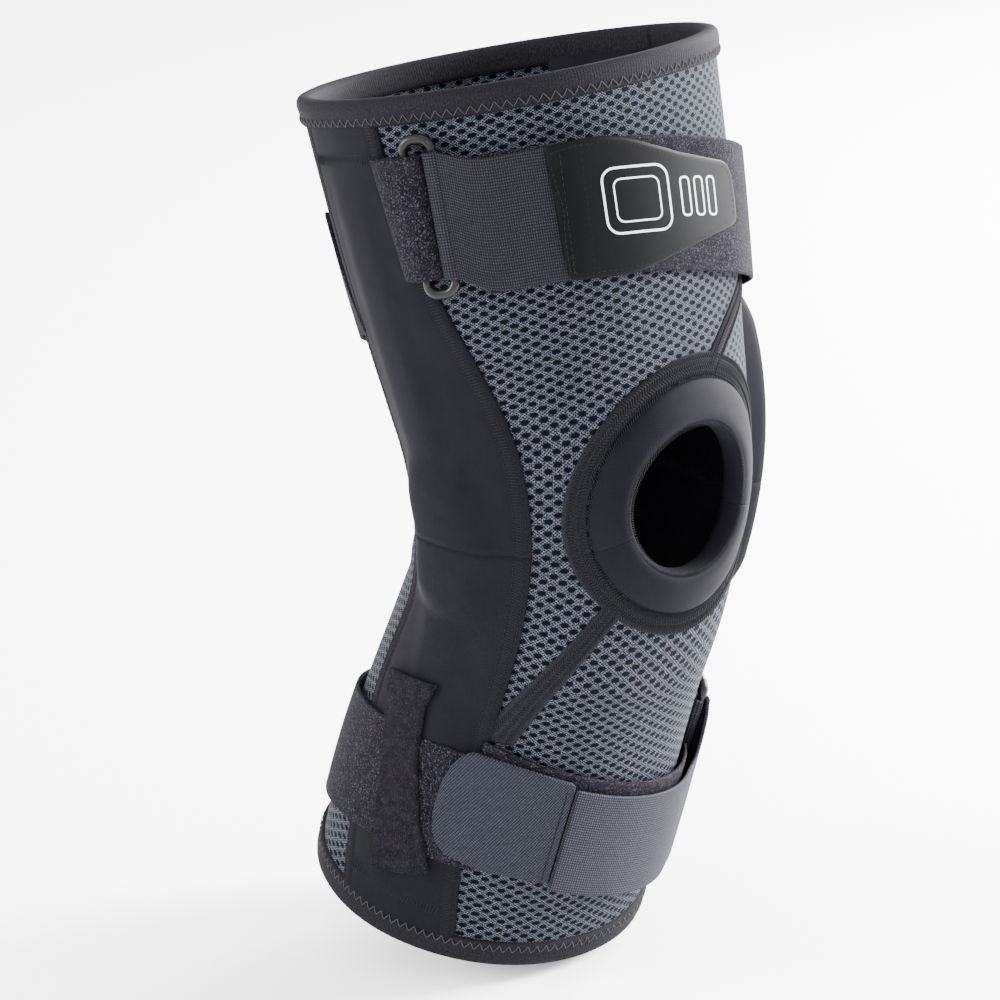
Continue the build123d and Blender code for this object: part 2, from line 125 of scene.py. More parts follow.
def skin(s, phi, lift=0.0):
    """Point of the sleeve's outer face at s and phi degrees, lifted outwards."""
    s, phi = np.broadcast_arrays(np.asarray(s, float), np.asarray(phi, float))
    turn = np.radians(phi)
    half = spline(s, STATION, HALF_WIDTH) + lift
    front = spline(s, STATION, FRONT_DEPTH) + lift
    back = spline(s, STATION, BACK_DEPTH) + lift
    d = np.where(np.sin(turn) < 0, front, back) * np.sin(turn)
    y, z = spine(s)
    t = lean(s)
    return np.stack([half * np.cos(turn), y + d * np.cos(t), z - d * np.sin(t)], -1)


def skin_normal(s, phi):
    e = 0.05
    along = skin(s + e, phi) - skin(s - e, phi)
    around = skin(s, np.asarray(phi) + e) - skin(s, np.asarray(phi) - e)
    n = np.cross(around, along)
    return n / np.linalg.norm(n, axis=-1, keepdims=True)


def lifted(s, phi, lift):
    """Skin point moved along the true normal, which keeps thin layers evenly apart."""
    return skin(s, phi) + skin_normal(s, phi) * np.asarray(lift)[..., None]


def to_sleeve(y, z):
    """(s, distance back from the spine) of a side-view point."""
    s = z
    for _ in range(30):
        cy, cz = spine(s)
        s = s + (y - cy) * np.sin(lean(s)) + (z - cz) * np.cos(lean(s))
    cy, cz = spine(s)
    return s, (y - cy) * np.cos(lean(s)) - (z - cz) * np.sin(lean(s))


def edge_angle(points, s):
    """Turn forwards (-) or back (+) from the side, in degrees, of a panel edge at s."""
    flat = np.array([to_sleeve(float(y), float(z)) for y, z in points])[::-1]
    back = spline(s, flat[:, 0], flat[:, 1])
    depth = np.where(back < 0, spline(s, STATION, FRONT_DEPTH), spline(s, STATION, BACK_DEPTH))
    return np.degrees(np.arcsin(np.clip(back / depth, -0.98, 0.98)))


def front_angle(s):
    return edge_angle(PANEL_FRONT, s)


def back_angle(s):
    return edge_angle(PANEL_BACK, s)


def at_front(x, z):
    """(s, phi) of the front point that shows at x, z in the front view."""
    x, z = np.broadcast_arrays(np.asarray(x, float), np.asarray(z, float))
    s = z.copy()
    for _ in range(12):
        half = spline(s, STATION, HALF_WIDTH)
        phi = 270 + np.degrees(np.arcsin(np.clip(x / half, -0.99, 0.99)))
        s = s + (z - skin(s, phi)[..., 2]) * 0.95
    return s, phi


def on_band(phi, across, middle, normal, lift=0.0):
    """(s, phi) at a distance across from the middle plane of a strap."""
    normal = np.array(normal) / np.linalg.norm(normal)
    phi, across = np.broadcast_arrays(np.asarray(phi, float), np.asarray(across, float))
    s = np.full(phi.shape, float(middle[2]))
    for _ in range(14):
        gap = (skin(s, phi, lift) - np.array(middle)) @ normal - across
        s = s - gap * 0.95
    return s, phi


# ---- mesh making -----------------------------------------------------------------------
def make_mesh(name, points, faces, material, cloth=None):
    """Mesh object from points in millimetres; cloth holds the fabric's own coordinates."""
    mesh = bpy.data.meshes.new(name)
    mesh.from_pydata((np.asarray(points) * MM).tolist(), [], [list(map(int, f)) for f in faces])
    mesh.validate()
    mesh.polygons.foreach_set("use_smooth", [True] * len(mesh.polygons))
    if cloth is not None:
        layer = mesh.attributes.new("cloth", "FLOAT_VECTOR", "POINT")
        layer.data.foreach_set("vector", np.asarray(cloth, np.float32).ravel())
    mesh.materials.append(material)
    mesh.update()
    piece = bpy.data.objects.new(name, mesh)
    bpy.context.scene.collection.objects.link(piece)
    return piece


def quads(rows, cols, wrap_rows=False, wrap_cols=False):
    i, j = np.meshgrid(np.arange(rows - (not wrap_rows)), np.arange(cols - (not wrap_cols)), indexing="ij")
    i2, j2 = (i + 1) % rows, (j + 1) % cols
    return np.stack([i * cols + j, i * cols + j2, i2 * cols + j2, i2 * cols + j], -1).reshape(-1, 4)


def cloth_lengths(points, start=0.0):
    """Fabric coordinates of a grid: distance along each row, and along the columns."""
    u = np.concatenate([np.zeros((len(points), 1)),
                        np.cumsum(np.linalg.norm(np.diff(points, axis=1), axis=-1), axis=1)], 1)
    v = np.concatenate([[0], np.cumsum(np.linalg.norm(np.diff(points, axis=0), axis=-1).mean(1))])
    u = u + np.asarray(start).reshape(-1, 1)
    return np.stack([u, np.broadcast_to(v[:, None], u.shape), np.zeros_like(u)], -1)


def run_along(points):
    """Distance from the first of a line of points to each of them."""
    return np.concatenate([[0], np.cumsum(np.linalg.norm(np.diff(points, axis=0), axis=1))])


def cloth_grid(along, across):
    """Fabric coordinates of a grid, from distances along and across the cloth."""
    along, across = np.broadcast_arrays(along, across)
    return np.stack([along, across, np.zeros(along.shape)], -1)


def shell(name, outer, inner, material, cloth=None):
    """Closed piece between two grids of points with the same layout."""
    rows, cols = outer.shape[:2]
    cloth = cloth_lengths(outer) if cloth is None else cloth
    count = rows * cols
    top = quads(rows, cols)
    bottom = top[:, ::-1] + count
    grid = np.arange(count).reshape(rows, cols)
    ring = np.concatenate([grid[0, :-1], grid[:-1, -1], grid[-1, :0:-1], grid[:0:-1, 0]])
    nxt = np.roll(ring, -1)
    sides = np.stack([ring, ring + count, nxt + count, nxt], -1)
    points = np.concatenate([outer.reshape(-1, 3), inner.reshape(-1, 3)])
    coords = np.concatenate([cloth.reshape(-1, 3)] * 2)
    faces = np.concatenate([top, bottom, sides])
    if facing_in(points, faces):
        faces = faces[:, ::-1]
    return make_mesh(name, points, faces, material, coords)


def facing_in(points, faces):
    """True if a closed mesh's faces point inwards."""
    a, b, c, d = (points[faces[:, k]] for k in range(4))
    volume = (np.einsum("ij,ij->i", a, np.cross(b, c)) + np.einsum("ij,ij->i", a, np.cross(c, d))).sum()
    return volume < 0


def closed_tube(name, points, material, cloth=None, wrap_rows=True):
    """Grid of points that closes on itself across its columns, and along its rows if asked."""
    rows, cols = points.shape[:2]
    faces = quads(rows, cols, wrap_rows, True).tolist()
    if not wrap_rows:
        faces += [list(range(cols))[::-1], list(range((rows - 1) * cols, rows * cols))]
    flat = points.reshape(-1, 3)
    four = np.array([f for f in faces if len(f) == 4])
    if facing_in(flat, four):
        faces = [f[::-1] for f in faces]
    cloth = cloth_lengths(points) if cloth is None else cloth
    return make_mesh(name, flat, faces, material, cloth.reshape(-1, 3))


def edge_steps(width, step, edge=(0, 0.5, 1.1, 1.9, 3.0)):
    """Places across a width, 0 to width, close together near both edges."""
    edge = np.array(edge)
    count = max(2, int(np.mean(width) / step))
    width = np.asarray(width, float).reshape(-1, 1)
    inner = edge[-1] + (width - 2 * edge[-1]) * np.linspace(0, 1, count + 1)[1:-1]
    low = np.broadcast_to(edge, (len(width), len(edge)))
    return np.concatenate([low, inner, width - edge[::-1]], 1)


def rounded(d, radius):
    """Height 0 to 1 of a rolled edge at distance d from it."""
    t = np.clip(d / radius, 0, 1)
    return np.sqrt(1 - (1 - t) ** 2)


def wave(s, phi, seed):
    """Gentle unevenness of worn cloth, about -1 to 1."""
    total = 0
    for k in range(4):
        a, b, c = (math.sin(seed * 12.9 + k * 4.1 + i * 2.3) for i in range(3))
        turns = np.radians(phi) * (3 + 2 * b) * (k * 0.6 + 1)
        total = total + np.sin(s * (0.045 + 0.02 * a) + turns + 6 * c)
    return total / 4


# ---- materials ---------------------------------------------------------------------------
class Nodes:
    """Short way to build a shader from numbers and vectors."""

    def __init__(self, name, base=(0.5, 0.5, 0.5), roughness=0.8, **sockets):
        self.material = bpy.data.materials.new(name)
        self.material.use_nodes = True
        self.tree = self.material.node_tree
        self.shader = self.tree.nodes["Principled BSDF"]
        self.shader.inputs["Base Color"].default_value = (*base, 1)
        self.shader.inputs["Roughness"].default_value = roughness
        for key, value in sockets.items():
            self.shader.inputs[key.replace("_", " ")].default_value = value

    def new(self, kind, **settings):
        node = self.tree.nodes.new(kind)
        for key, value in settings.items():
            setattr(node, key, value)
        return node

    def put(self, socket, value):
        if isinstance(value, bpy.types.NodeSocket):
            self.tree.links.new(value, socket)
        else:
            socket.default_value = value

    def math(self, operation, a, b=0.0, c=0.0):
        node = self.new("ShaderNodeMath", operation=operation)
        for socket, value in zip(node.inputs, (a, b, c)):
            self.put(socket, value)
        return node.outputs[0]

    def step(self, value, low, high):
        node = self.new("ShaderNodeMapRange", interpolation_type="SMOOTHSTEP")
        for key, v in (("Value", value), ("From Min", low), ("From Max", high)):
            self.put(node.inputs[key], v)
        return node.outputs["Result"]

    def cloth(self):
        """Fabric coordinates in millimetres: vector, along, across."""
        node = self.new("ShaderNodeAttribute", attribute_name="cloth")
        split = self.new("ShaderNodeSeparateXYZ")
        self.put(split.inputs[0], node.outputs["Vector"])
        return node.outputs["Vector"], split.outputs[0], split.outputs[1]

    def noise(self, vector, scale, detail=2.0, roughness=0.5):
        node = self.new("ShaderNodeTexNoise")
        self.put(node.inputs["Vector"], vector)
        self.put(node.inputs["Scale"], scale)
        self.put(node.inputs["Detail"], detail)
        self.put(node.inputs["Roughness"], roughness)
        return node.outputs["Fac"]

    def object_point(self):
        """Place in millimetres, for patterns that need no fabric coordinates."""
        scale = self.new("ShaderNodeVectorMath", operation="SCALE")
        self.put(scale.inputs[0], self.new("ShaderNodeTexCoord").outputs["Object"])
        scale.inputs["Scale"].default_value = 1000
        return scale.outputs[0]

    def mix(self, factor, a, b):
        node = self.new("ShaderNodeMix", data_type="RGBA")
        self.put(node.inputs["Factor"], factor)
        for socket, value in ((node.inputs["A"], a), (node.inputs["B"], b)):
            self.put(socket, (*value, 1) if isinstance(value, tuple) else value)
        return node.outputs["Result"]

    def finish(self, color=None, height=None, depth=0.3, roughness=None):
        """Links colour, bump of depth millimetres and roughness, and returns the material."""
        if color is not None:
            self.put(self.shader.inputs["Base Color"], color)
        if roughness is not None:
            self.put(self.shader.inputs["Roughness"], roughness)
        if height is not None:
            bump = self.new("ShaderNodeBump")
            self.put(bump.inputs["Height"], height)
            bump.inputs["Distance"].default_value = depth * MM
            bump.inputs["Strength"].default_value = 1.0
            self.put(self.shader.inputs["Normal"], bump.outputs[0])
        return self.material


def spacer_knit():
    """Warp-knitted spacer mesh: staggered oval holes between plaited yarns, with painted highlights on the
    yarns and painted shade in the holes.
    """
    pitch, rows = 7.0, 3.9
    n = Nodes("spacer_knit", Specular_IOR_Level=0.03, roughness=0.75)
    vector, along, up = n.cloth()
    wobble = n.math("MULTIPLY", n.math("SUBTRACT", n.noise(vector, 0.55), 0.5), 1.1)
    holes = None
    for shift in (0.0, 0.5):
        a = n.math("FRACT", n.math("ADD", n.math("DIVIDE", n.math("ADD", along, wobble), pitch), shift))
        raised = n.math("ADD", up, n.math("MULTIPLY", wobble, 0.4))
        b = n.math("FRACT", n.math("ADD", n.math("DIVIDE", raised, rows), shift))
        da = n.math("DIVIDE", n.math("SUBTRACT", a, 0.5), 1.72 / pitch)
        db = n.math("DIVIDE", n.math("SUBTRACT", b, 0.5), 0.92 / rows)
        far = n.math("SQRT", n.math("ADD", n.math("POWER", n.math("ABSOLUTE", da), 2.4),
                                    n.math("POWER", n.math("ABSOLUTE", db), 2.0)))
        holes = far if holes is None else n.math("MINIMUM", holes, far)
    solid = n.step(holes, 0.72, 1.12)
    plait = None
    for sign in (1, -1):
        diagonal = n.math("ADD", n.math("MULTIPLY", along, 4.3), n.math("MULTIPLY", up, 6.2 * sign))
        strand = n.math("SINE", n.math("ADD", diagonal, n.math("MULTIPLY", wobble, 3.0)))
        plait = strand if plait is None else n.math("MAXIMUM", plait, strand)
    yarn = n.step(plait, -0.1, 1.0)
    fleck = n.noise(vector, 1.5, 3.0, 0.7)
    # painted highlights: lighter flecks along the yarns stand in for light on their crests
    painted_yarn_highlight = n.math("MULTIPLY", yarn, n.step(fleck, 0.32, 0.68))
    body = n.mix(painted_yarn_highlight, (0.0034, 0.0041, 0.0068), (0.074, 0.083, 0.110))
    # painted shade: the holes are near-black, as the recess under the yarns is in shade
    color = n.mix(solid, (0.0006, 0.0007, 0.0012), body)
    height = n.math("ADD", n.math("MULTIPLY", solid, 1.0), n.math("MULTIPLY", yarn, 0.35))
    return n.finish(color, height, 0.55)


def neoprene():
    """Neoprene faced with fine matt jersey."""
    n = Nodes("neoprene", Specular_IOR_Level=0.03, roughness=0.72)
    vector, along, up = n.cloth()
    ribs = n.math("MULTIPLY", n.math("SINE", n.math("MULTIPLY", along, 9.0)),
                  n.math("SINE", n.math("MULTIPLY", up, 7.0)))
    cloud = n.noise(vector, 0.06, 4.0, 0.6)
    grain = n.noise(vector, 3.5, 2.0, 0.6)
    color = n.mix(n.step(cloud, 0.25, 0.75), (0.0022, 0.0021, 0.0034), (0.0034, 0.0032, 0.0051))
    color = n.mix(n.math("MULTIPLY", n.step(grain, 0.45, 0.75), 0.35), color, (0.0120, 0.0112, 0.0165))
    height = n.math("ADD", n.math("MULTIPLY", ribs, 0.3), n.math("MULTIPLY", grain, 0.5))
    return n.finish(color, height, 0.10)


def binding_tape(name, dark, light):
    """Soft folded elastic tape."""
    n = Nodes(name, Specular_IOR_Level=0.03, roughness=0.78)
    vector, along, _ = n.cloth()
    ribs = n.math("SINE", n.math("MULTIPLY", along, 5.0))
    grain = n.noise(vector, 2.0, 3.0, 0.6)
    color = n.mix(n.step(grain, 0.35, 0.8), dark, light)
    return n.finish(color, n.math("ADD", n.math("MULTIPLY", ribs, 0.25), grain), 0.14)


def loop_fabric(name, painted_glint_share):
    """Brushed loop pile, dark with a purple cast, with small painted highlights as glints."""
    n = Nodes(name, Specular_IOR_Level=0.03, roughness=0.85)
    vector = n.object_point()
    pile = n.noise(vector, 1.6, 4.0, 0.75)
    clump = n.noise(vector, 0.28, 3.0, 0.6)
    # painted highlights: small bright flecks stand in for light caught by the pile
    painted_glint = n.step(n.noise(vector, 1.5, 3.0, 0.8), 0.52, 0.68)
    color = n.mix(n.step(clump, 0.3, 0.7), (0.0022, 0.0018, 0.0032), (0.0056, 0.0047, 0.0075))
    color = n.mix(n.math("MULTIPLY", painted_glint, painted_glint_share), color, (0.062, 0.056, 0.078))
    return n.finish(color, n.math("ADD", pile, n.math("MULTIPLY", clump, 0.8)), 0.7)


def elastic(name, dark, light, rib=7.4):
    """Ribbed elastic webbing: fine cords across, knit loops along."""
    n = Nodes(name, Specular_IOR_Level=0.03, roughness=0.7)
    vector, along, up = n.cloth()
    jitter = n.math("MULTIPLY", n.noise(vector, 0.8), 1.5)
    ribs = n.step(n.math("SINE", n.math("ADD", n.math("MULTIPLY", along, rib), jitter)), -0.8, 1.0)
    loops = n.step(n.math("SINE", n.math("MULTIPLY", up, 6.0)), -0.9, 0.8)
    fleck = n.noise(vector, 2.8, 2.0, 0.7)
    weave = n.math("MULTIPLY", n.math("MULTIPLY", ribs, loops), n.step(fleck, 0.25, 0.7))
    color = n.mix(weave, dark, light)
    height = n.math("ADD", n.math("MULTIPLY", ribs, 0.6), n.math("MULTIPLY", loops, 0.4))
    return n.finish(color, height, 0.28)


def hook_tape():
    """Moulded hook tape seen from its back: slate, slightly fuzzy, finely dimpled."""
    n = Nodes("hook_tape", Specular_IOR_Level=0.03, roughness=0.8)
    vector, along, up = n.cloth()
    one = n.math("SINE", n.math("ADD", n.math("MULTIPLY", along, 4.6), n.math("MULTIPLY", up, 2.1)))
    two = n.math("SINE", n.math("SUBTRACT", n.math("MULTIPLY", up, 5.0), n.math("MULTIPLY", along, 1.2)))
    dimples = n.step(n.math("MULTIPLY", one, two), -0.7, 0.7)
    fleck = n.noise(vector, 1.9, 4.0, 0.8)
    fuzz = n.math("MULTIPLY", dimples, n.step(fleck, 0.3, 0.72))
    color = n.mix(fuzz, (0.0050, 0.0054, 0.0078), (0.0390, 0.0400, 0.0540))
    return n.finish(color, n.math("ADD", n.math("MULTIPLY", dimples, 0.5), fleck), 0.3)


def smooth_rubber():
    n = Nodes("rubber_tab", roughness=0.5, Specular_IOR_Level=0.03)
    vector = n.object_point()
    grain = n.noise(vector, 2.4, 3.0, 0.6)
    cloud = n.noise(vector, 0.05, 3.0, 0.6)
    color = n.mix(cloud, (0.0016, 0.0017, 0.0021), (0.0027, 0.0028, 0.0034))
    rough = n.math("ADD", n.math("MULTIPLY", cloud, 0.16), 0.42)
    return n.finish(color, grain, 0.03, rough)


def plain(name, base, roughness, metallic=0.0, scale=1.0, depth=0.02, light=None, shine=0.5):
    """Hard or thread material with a fine grain."""
    n = Nodes(name, roughness=roughness, Metallic=metallic, Specular_IOR_Level=shine)
    grain = n.noise(n.object_point(), scale, 4.0, 0.6)
    lighter = light or tuple(c * 1.35 for c in base)
    rough = n.math("ADD", n.math("MULTIPLY", grain, 0.2), roughness - 0.1)
    return n.finish(n.mix(grain, base, lighter), grain, depth, rough)


SEAM_TAPE = binding_tape("seam_tape", (0.0030, 0.0032, 0.0042), (0.0150, 0.0160, 0.0205))
KNIT_CLOTH = spacer_knit()
NEOPRENE = neoprene()
TAPE = binding_tape("binding_tape", (0.0030, 0.0029, 0.0038), (0.0125, 0.0120, 0.0150))
LOOP_CLOTH = loop_fabric("loop_fabric", 0.72)
# painted shade: a darker copy of the loop fabric, with fewer painted highlights, for the keepers
KEEPER_CLOTH = loop_fabric("loop_fabric_shaded", 0.26)
GREY_ELASTIC = elastic("elastic_webbing", (0.0058, 0.0058, 0.0078), (0.0310, 0.0310, 0.0400))
LILAC_ELASTIC = elastic("elastic_webbing_lilac", (0.0090, 0.0088, 0.0125), (0.054, 0.053, 0.070), 6.0)
HOOK = hook_tape()
RUBBER = smooth_rubber()
GREY_THREAD = plain("grey_thread", (0.020, 0.0195, 0.0225), 0.8, scale=3.0, depth=0.05, shine=0.1)
DARK_THREAD = plain("dark_thread", (0.0020, 0.0019, 0.0028), 0.8, scale=3.0, depth=0.05,
                    light=(0.0095, 0.0090, 0.0120), shine=0.06)
WHITE_INK = plain("white_ink", (0.42, 0.43, 0.44), 0.6, scale=2.0, depth=0.01,
                  light=(0.50, 0.51, 0.52), shine=0.2)
RING_PLASTIC = plain("ring_plastic", (0.0022, 0.0022, 0.0027), 0.35, scale=1.2, depth=0.02, shine=0.16)
ALUMINIUM = plain("aluminium", (0.50, 0.51, 0.53), 0.38, metallic=1.0, scale=0.8)
STEEL = plain("steel", (0.45, 0.45, 0.46), 0.28, metallic=1.0, scale=0.6)
NYLON = plain("nylon", (0.62, 0.62, 0.58), 0.5, scale=0.7)

# ---- camera, light and floor ------------------------------------------------------------------
VIEW_AZIMUTH, VIEW_ELEVATION = -49.1, 17.4
VIEW_DISTANCE, VIEW_LENS, AIM_LEFT = 2.317, 224.96, 0.0271


def camera():
    """Long lens at the catalogue angle, aimed a little to the left of the knee."""
    a, e = math.radians(VIEW_AZIMUTH), math.radians(VIEW_ELEVATION)
    back = Vector((math.sin(a) * math.cos(e), -math.cos(a) * math.cos(e), math.sin(e)))
    right = Vector((math.cos(a), math.sin(a), 0))
    lens = bpy.data.cameras.new("camera")
    lens.lens = VIEW_LENS
    lens.clip_start, lens.clip_end = 0.1, 30
    eye = bpy.data.objects.new("camera", lens)
    eye.location = back * VIEW_DISTANCE
    direction = -right * AIM_LEFT - eye.location
    eye.rotation_mode = "QUATERNION"
    eye.rotation_quaternion = direction.to_track_quat("-Z", "Y")
    bpy.context.scene.collection.objects.link(eye)
    bpy.context.scene.camera = eye


def softbox(name, place, size, power, color=(1, 1, 1)):
    light = bpy.data.lights.new(name, "AREA")
    light.shape, light.size, light.energy, light.color = "DISK", size, power, color
    lamp = bpy.data.objects.new(name, light)
    lamp.location = place
    lamp.rotation_mode = "QUATERNION"
    lamp.rotation_quaternion = (-Vector(place)).to_track_quat("-Z", "Y")
    bpy.context.scene.collection.objects.link(lamp)


def studio():
    """White surround, soft lamps from the front right and left, pale floor below the cuff."""
    world = bpy.data.worlds.new("studio")
    world.use_nodes = True
    world.node_tree.nodes["Background"].inputs[0].default_value = (1, 1, 1, 1)
    world.node_tree.nodes["Background"].inputs[1].default_value = 3.2
    bpy.context.scene.world = world
    softbox("key", (1.5, -0.85, 0.6), 0.8, 340)
    softbox("rim", (1.7, 0.3, 0.5), 0.6, 120)
    softbox("fill", (-1.5, -1.2, 0.9), 0.8, 24)
    softbox("edge", (-1.3, 0.9, 0.5), 0.6, 60)
    low = CAD_BOX[0].z - 0.004
    half = 6.0
    mesh = bpy.data.meshes.new("floor")
    mesh.from_pydata([(-half, -half, low), (half, -half, low), (half, half, low), (-half, half, low)], [],
                     [(0, 1, 2, 3)])
    mesh.materials.append(plain("floor_paint", (0.93, 0.93, 0.93), 0.9, light=(0.95, 0.95, 0.95)))
    floor = bpy.data.objects.new("floor", mesh)
    bpy.context.scene.collection.objects.link(floor)


# ---- the sleeve: pieces and how they follow the hinge --------------------------------------
UPPER, LOWER = "upper", "lower"
TOP_S, BOTTOM_S = HALF_LENGTH - BINDING + 2, -HALF_LENGTH + BINDING - 2
HALVES = ((UPPER, MID_S, TOP_S), (LOWER, BOTTOM_S, MID_S))


def follow(piece, half, slot, *nodes):
    """Bakes a piece's transform and hides the CAD nodes it replaces; upper and lower fabric are handled
    alike.
    """
    if half == UPPER:
        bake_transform(piece)
    else:
        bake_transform(piece)
    if nodes:
        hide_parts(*nodes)
    return piece


def zone_nodes(half, pattern):
    zone = "thigh" if half == UPPER else "calf"
    return pattern.format(zone=zone), pattern.format(zone="knee")


def rows_between(low, high, step):
    return np.linspace(low, high, max(3, int((high - low) / step) + 1))


def around_length(s, phi):
    """Cloth distance from the front line to phi, along a row."""
    turn = 270 + (phi[:, None] - 270) * np.linspace(0, 1, 90)
    path = skin(np.broadcast_to(s[:, None], turn.shape), turn)
    return np.linalg.norm(np.diff(path, axis=1), axis=-1).sum(1) * np.sign(phi - 270)


def fabric_grid(s, start, end, step, edge):
    """phi and distances from both edges, for rows s between two edge angles."""
    probe = skin(s[:, None], start[:, None] + (end - start)[:, None] * np.linspace(0, 1, 120))
    length = np.linalg.norm(np.diff(probe, axis=1), axis=-1).sum(1)
    across = edge_steps(length, step, edge)
    share = across / length[:, None]
    return start[:, None] + (end - start)[:, None] * share, across, length[:, None] - across


HOLE_X, HOLE_Z, HOLE_A, HOLE_B = -5.6, 15.2, 27.0, 27.5
RING_X, RING_Z, RING_A, RING_B = -2.5, 14.6, 42.8, 44.0


def ring_distance(points):
    """1 on the kneecap ring's outer line, less inside it."""
    return np.hypot((points[..., 0] - RING_X) / RING_A, (points[..., 2] - RING_Z) / RING_B)


def front_mesh(half, low, high):
    """Front knit panel, open under the kneecap ring."""
    s = rows_between(low, high, 2.2)
    phi, left, right = fabric_grid(s, 180 - front_angle(s), 360 + front_angle(s), 2.4, (0, 1.2, 2.6))
    phi = 540 - phi if phi[0, 0] > phi[0, -1] else phi
    s_grid = np.broadcast_to(s[:, None], phi.shape)
    edge = np.minimum(left, right)
    ripple = 0.35 * wave(s_grid, phi, 1.0) * ramp(edge, 0, 14)
    outer = lifted(s_grid, phi, ripple)
    inner = lifted(s_grid, phi, ripple - KNIT)
    start = around_length(s, phi[:, 0])
    cloth = cloth_lengths(outer, start)
    cloth[..., 1] = s_grid
    rows, cols = phi.shape
    keep = ring_distance(outer)
    quad_list = quads(rows, cols)
    outside = keep.reshape(-1)[quad_list].min(1) > 0.72
    count = rows * cols
    top = quad_list[outside]
    bottom = top[:, ::-1] + count
    edges = np.sort(np.concatenate([top[:, [k, (k + 1) % 4]] for k in range(4)]), axis=1)
    pairs, times = np.unique(edges, axis=0, return_counts=True)
    border = {tuple(p) for p in pairs[times == 1]}
    sides = []
    for face in top:
        for k in range(4):
            a, b = face[k], face[(k + 1) % 4]
            if (min(a, b), max(a, b)) in border:
                sides.append([b, a, a + count, b + count])
    faces = np.concatenate([top, bottom, np.array(sides)])
    points = np.concatenate([outer.reshape(-1, 3), inner.reshape(-1, 3)])
    used = np.unique(faces)
    index = np.zeros(len(points), int)
    index[used] = np.arange(len(used))
    faces, points = index[faces], points[used]
    if facing_in(points, faces):
        faces = faces[:, ::-1]
    coords = np.concatenate([cloth.reshape(-1, 3)] * 2)[used]
    piece = make_mesh(f"front_mesh_{half}", points, faces, KNIT_CLOTH, coords)
    follow(piece, half, "spacer_knit", *zone_nodes(half, "{zone}_front_mesh"))


def back_mesh(half, low, high):
    s = rows_between(low, high, 2.4)
    phi, left, right = fabric_grid(s, back_angle(s), 180 - back_angle(s), 3.0, (0, 1.2, 2.6))
    s_grid = np.broadcast_to(s[:, None], phi.shape)
    edge = np.minimum(left, right)
    crease = np.exp(-(s_grid / 26) ** 2) * np.sin(s_grid / 4.6) * 0.9
    ripple = (0.4 * wave(s_grid, phi, 2.0) + crease) * ramp(edge, 0, 16)
    outer = lifted(s_grid, phi, ripple)
    inner = lifted(s_grid, phi, ripple - KNIT)
    cloth = cloth_lengths(outer, around_length(s, phi[:, 0] + 360))
    cloth[..., 1] = s_grid
    piece = shell(f"back_mesh_{half}", outer, inner, KNIT_CLOTH, cloth)
    follow(piece, half, "spacer_knit", *zone_nodes(half, "{zone}_back_mesh"))


PIN_UP = JOINTS["upper_pivot_lateral"]["pos_m"][2] / MM
POD_OUT = 11.5                               # the medial hinge pocket stands this far out


def hinge_bulge(s, back_from_arm, side):
    """How far the cover is pushed out over the hinge and, less, over the arms."""
    boss_z = np.clip(np.abs(s) - PIN_UP, 0, None)
    near = np.hypot(boss_z, back_from_arm)
    bulge = 4.4 * (1 - ramp(near, 10, 27))
    arms = 1.1 * (1 - ramp(np.abs(back_from_arm), 5, 15)) * (1 - ramp(np.abs(s), 120, 150))
    if side == "medial":
        pod = ramp(s, -56, -26) * (1 - ramp(s, 50, 88)) * (1 - ramp(back_from_arm, 6, 30))
        bulge = np.maximum(bulge, POD_OUT * pod)
    return np.maximum(bulge, arms)


COVER_PROUD, STITCH_A, STITCH_B = 1.3, 1.6, 5.6
COVER_EDGE = (0, 0.4, 0.9, 1.6, 2.4, 3.4, 4.4, 5.2, 6.0, 7.0)
UPPER_ARM_TILT, LOWER_ARM_TILT = 17.5, 12.5  # degrees that the hinge's arms lean back


def cover(side, half, low, high):
    """Padded neoprene side panel, with a flat-stitched band along its front edge."""
    s = rows_between(low, high, 2.2)
    if side == "lateral":
        start, end = 180 - back_angle(s), 180 - front_angle(s)
    else:
        start, end = back_angle(s), front_angle(s)
    phi, from_back, from_front = fabric_grid(s, start, end, 2.4, COVER_EDGE)
    s_grid = np.broadcast_to(s[:, None], phi.shape)
    points = skin(s_grid, phi)
    tilt = np.where(points[..., 2] > 0, math.tan(math.radians(UPPER_ARM_TILT)),
                    -math.tan(math.radians(LOWER_ARM_TILT)))
    back_from_arm = points[..., 1] - points[..., 2] * tilt
    edge = np.minimum(from_back, from_front)
    groove = sum(np.exp(-((edge - d) / 0.5) ** 2) for d in (STITCH_A, STITCH_B))
    from_edge = ramp(edge, 3, 16) if side == "lateral" else ramp(edge, 0.5, 5)
    push = hinge_bulge(s_grid, back_from_arm, side) * from_edge
    lift = COVER_PROUD * rounded(edge, 1.3) - 0.32 * groove + push
    lift = lift + 0.25 * wave(s_grid, phi, 3.0) * ramp(edge, 4, 20)
    outer = lifted(s_grid, phi, lift + 0.1)
    inner = lifted(s_grid, phi, np.minimum(lift - 1.6, -1.2))
    piece = shell(f"{side}_cover_{half}", outer, inner, NEOPRENE)
    follow(piece, half, "neoprene", *zone_nodes(half, side + "_{zone}_cover"))


def lining(side, half, low, high):
    """Smooth liner between the leg and the hinge."""
    s = rows_between(low, high, 4)
    sign = (lambda a: 180 - a) if side == "lateral" else (lambda a: a)
    phi, one, two = fabric_grid(s, sign(back_angle(s)), sign(front_angle(s)), 4, (0, 1.5, 4))
    s_grid = np.broadcast_to(s[:, None], phi.shape)
    dip = -KNIT - 5.2 * ramp(np.minimum(one, two), 0, 10)
    outer, inner = lifted(s_grid, phi, dip), lifted(s_grid, phi, dip - 1.3)
    piece = shell(f"{side}_lining_{half}", outer, inner, NEOPRENE)
    follow(piece, half, "neoprene", *zone_nodes(half, side + "_{zone}_lining"))


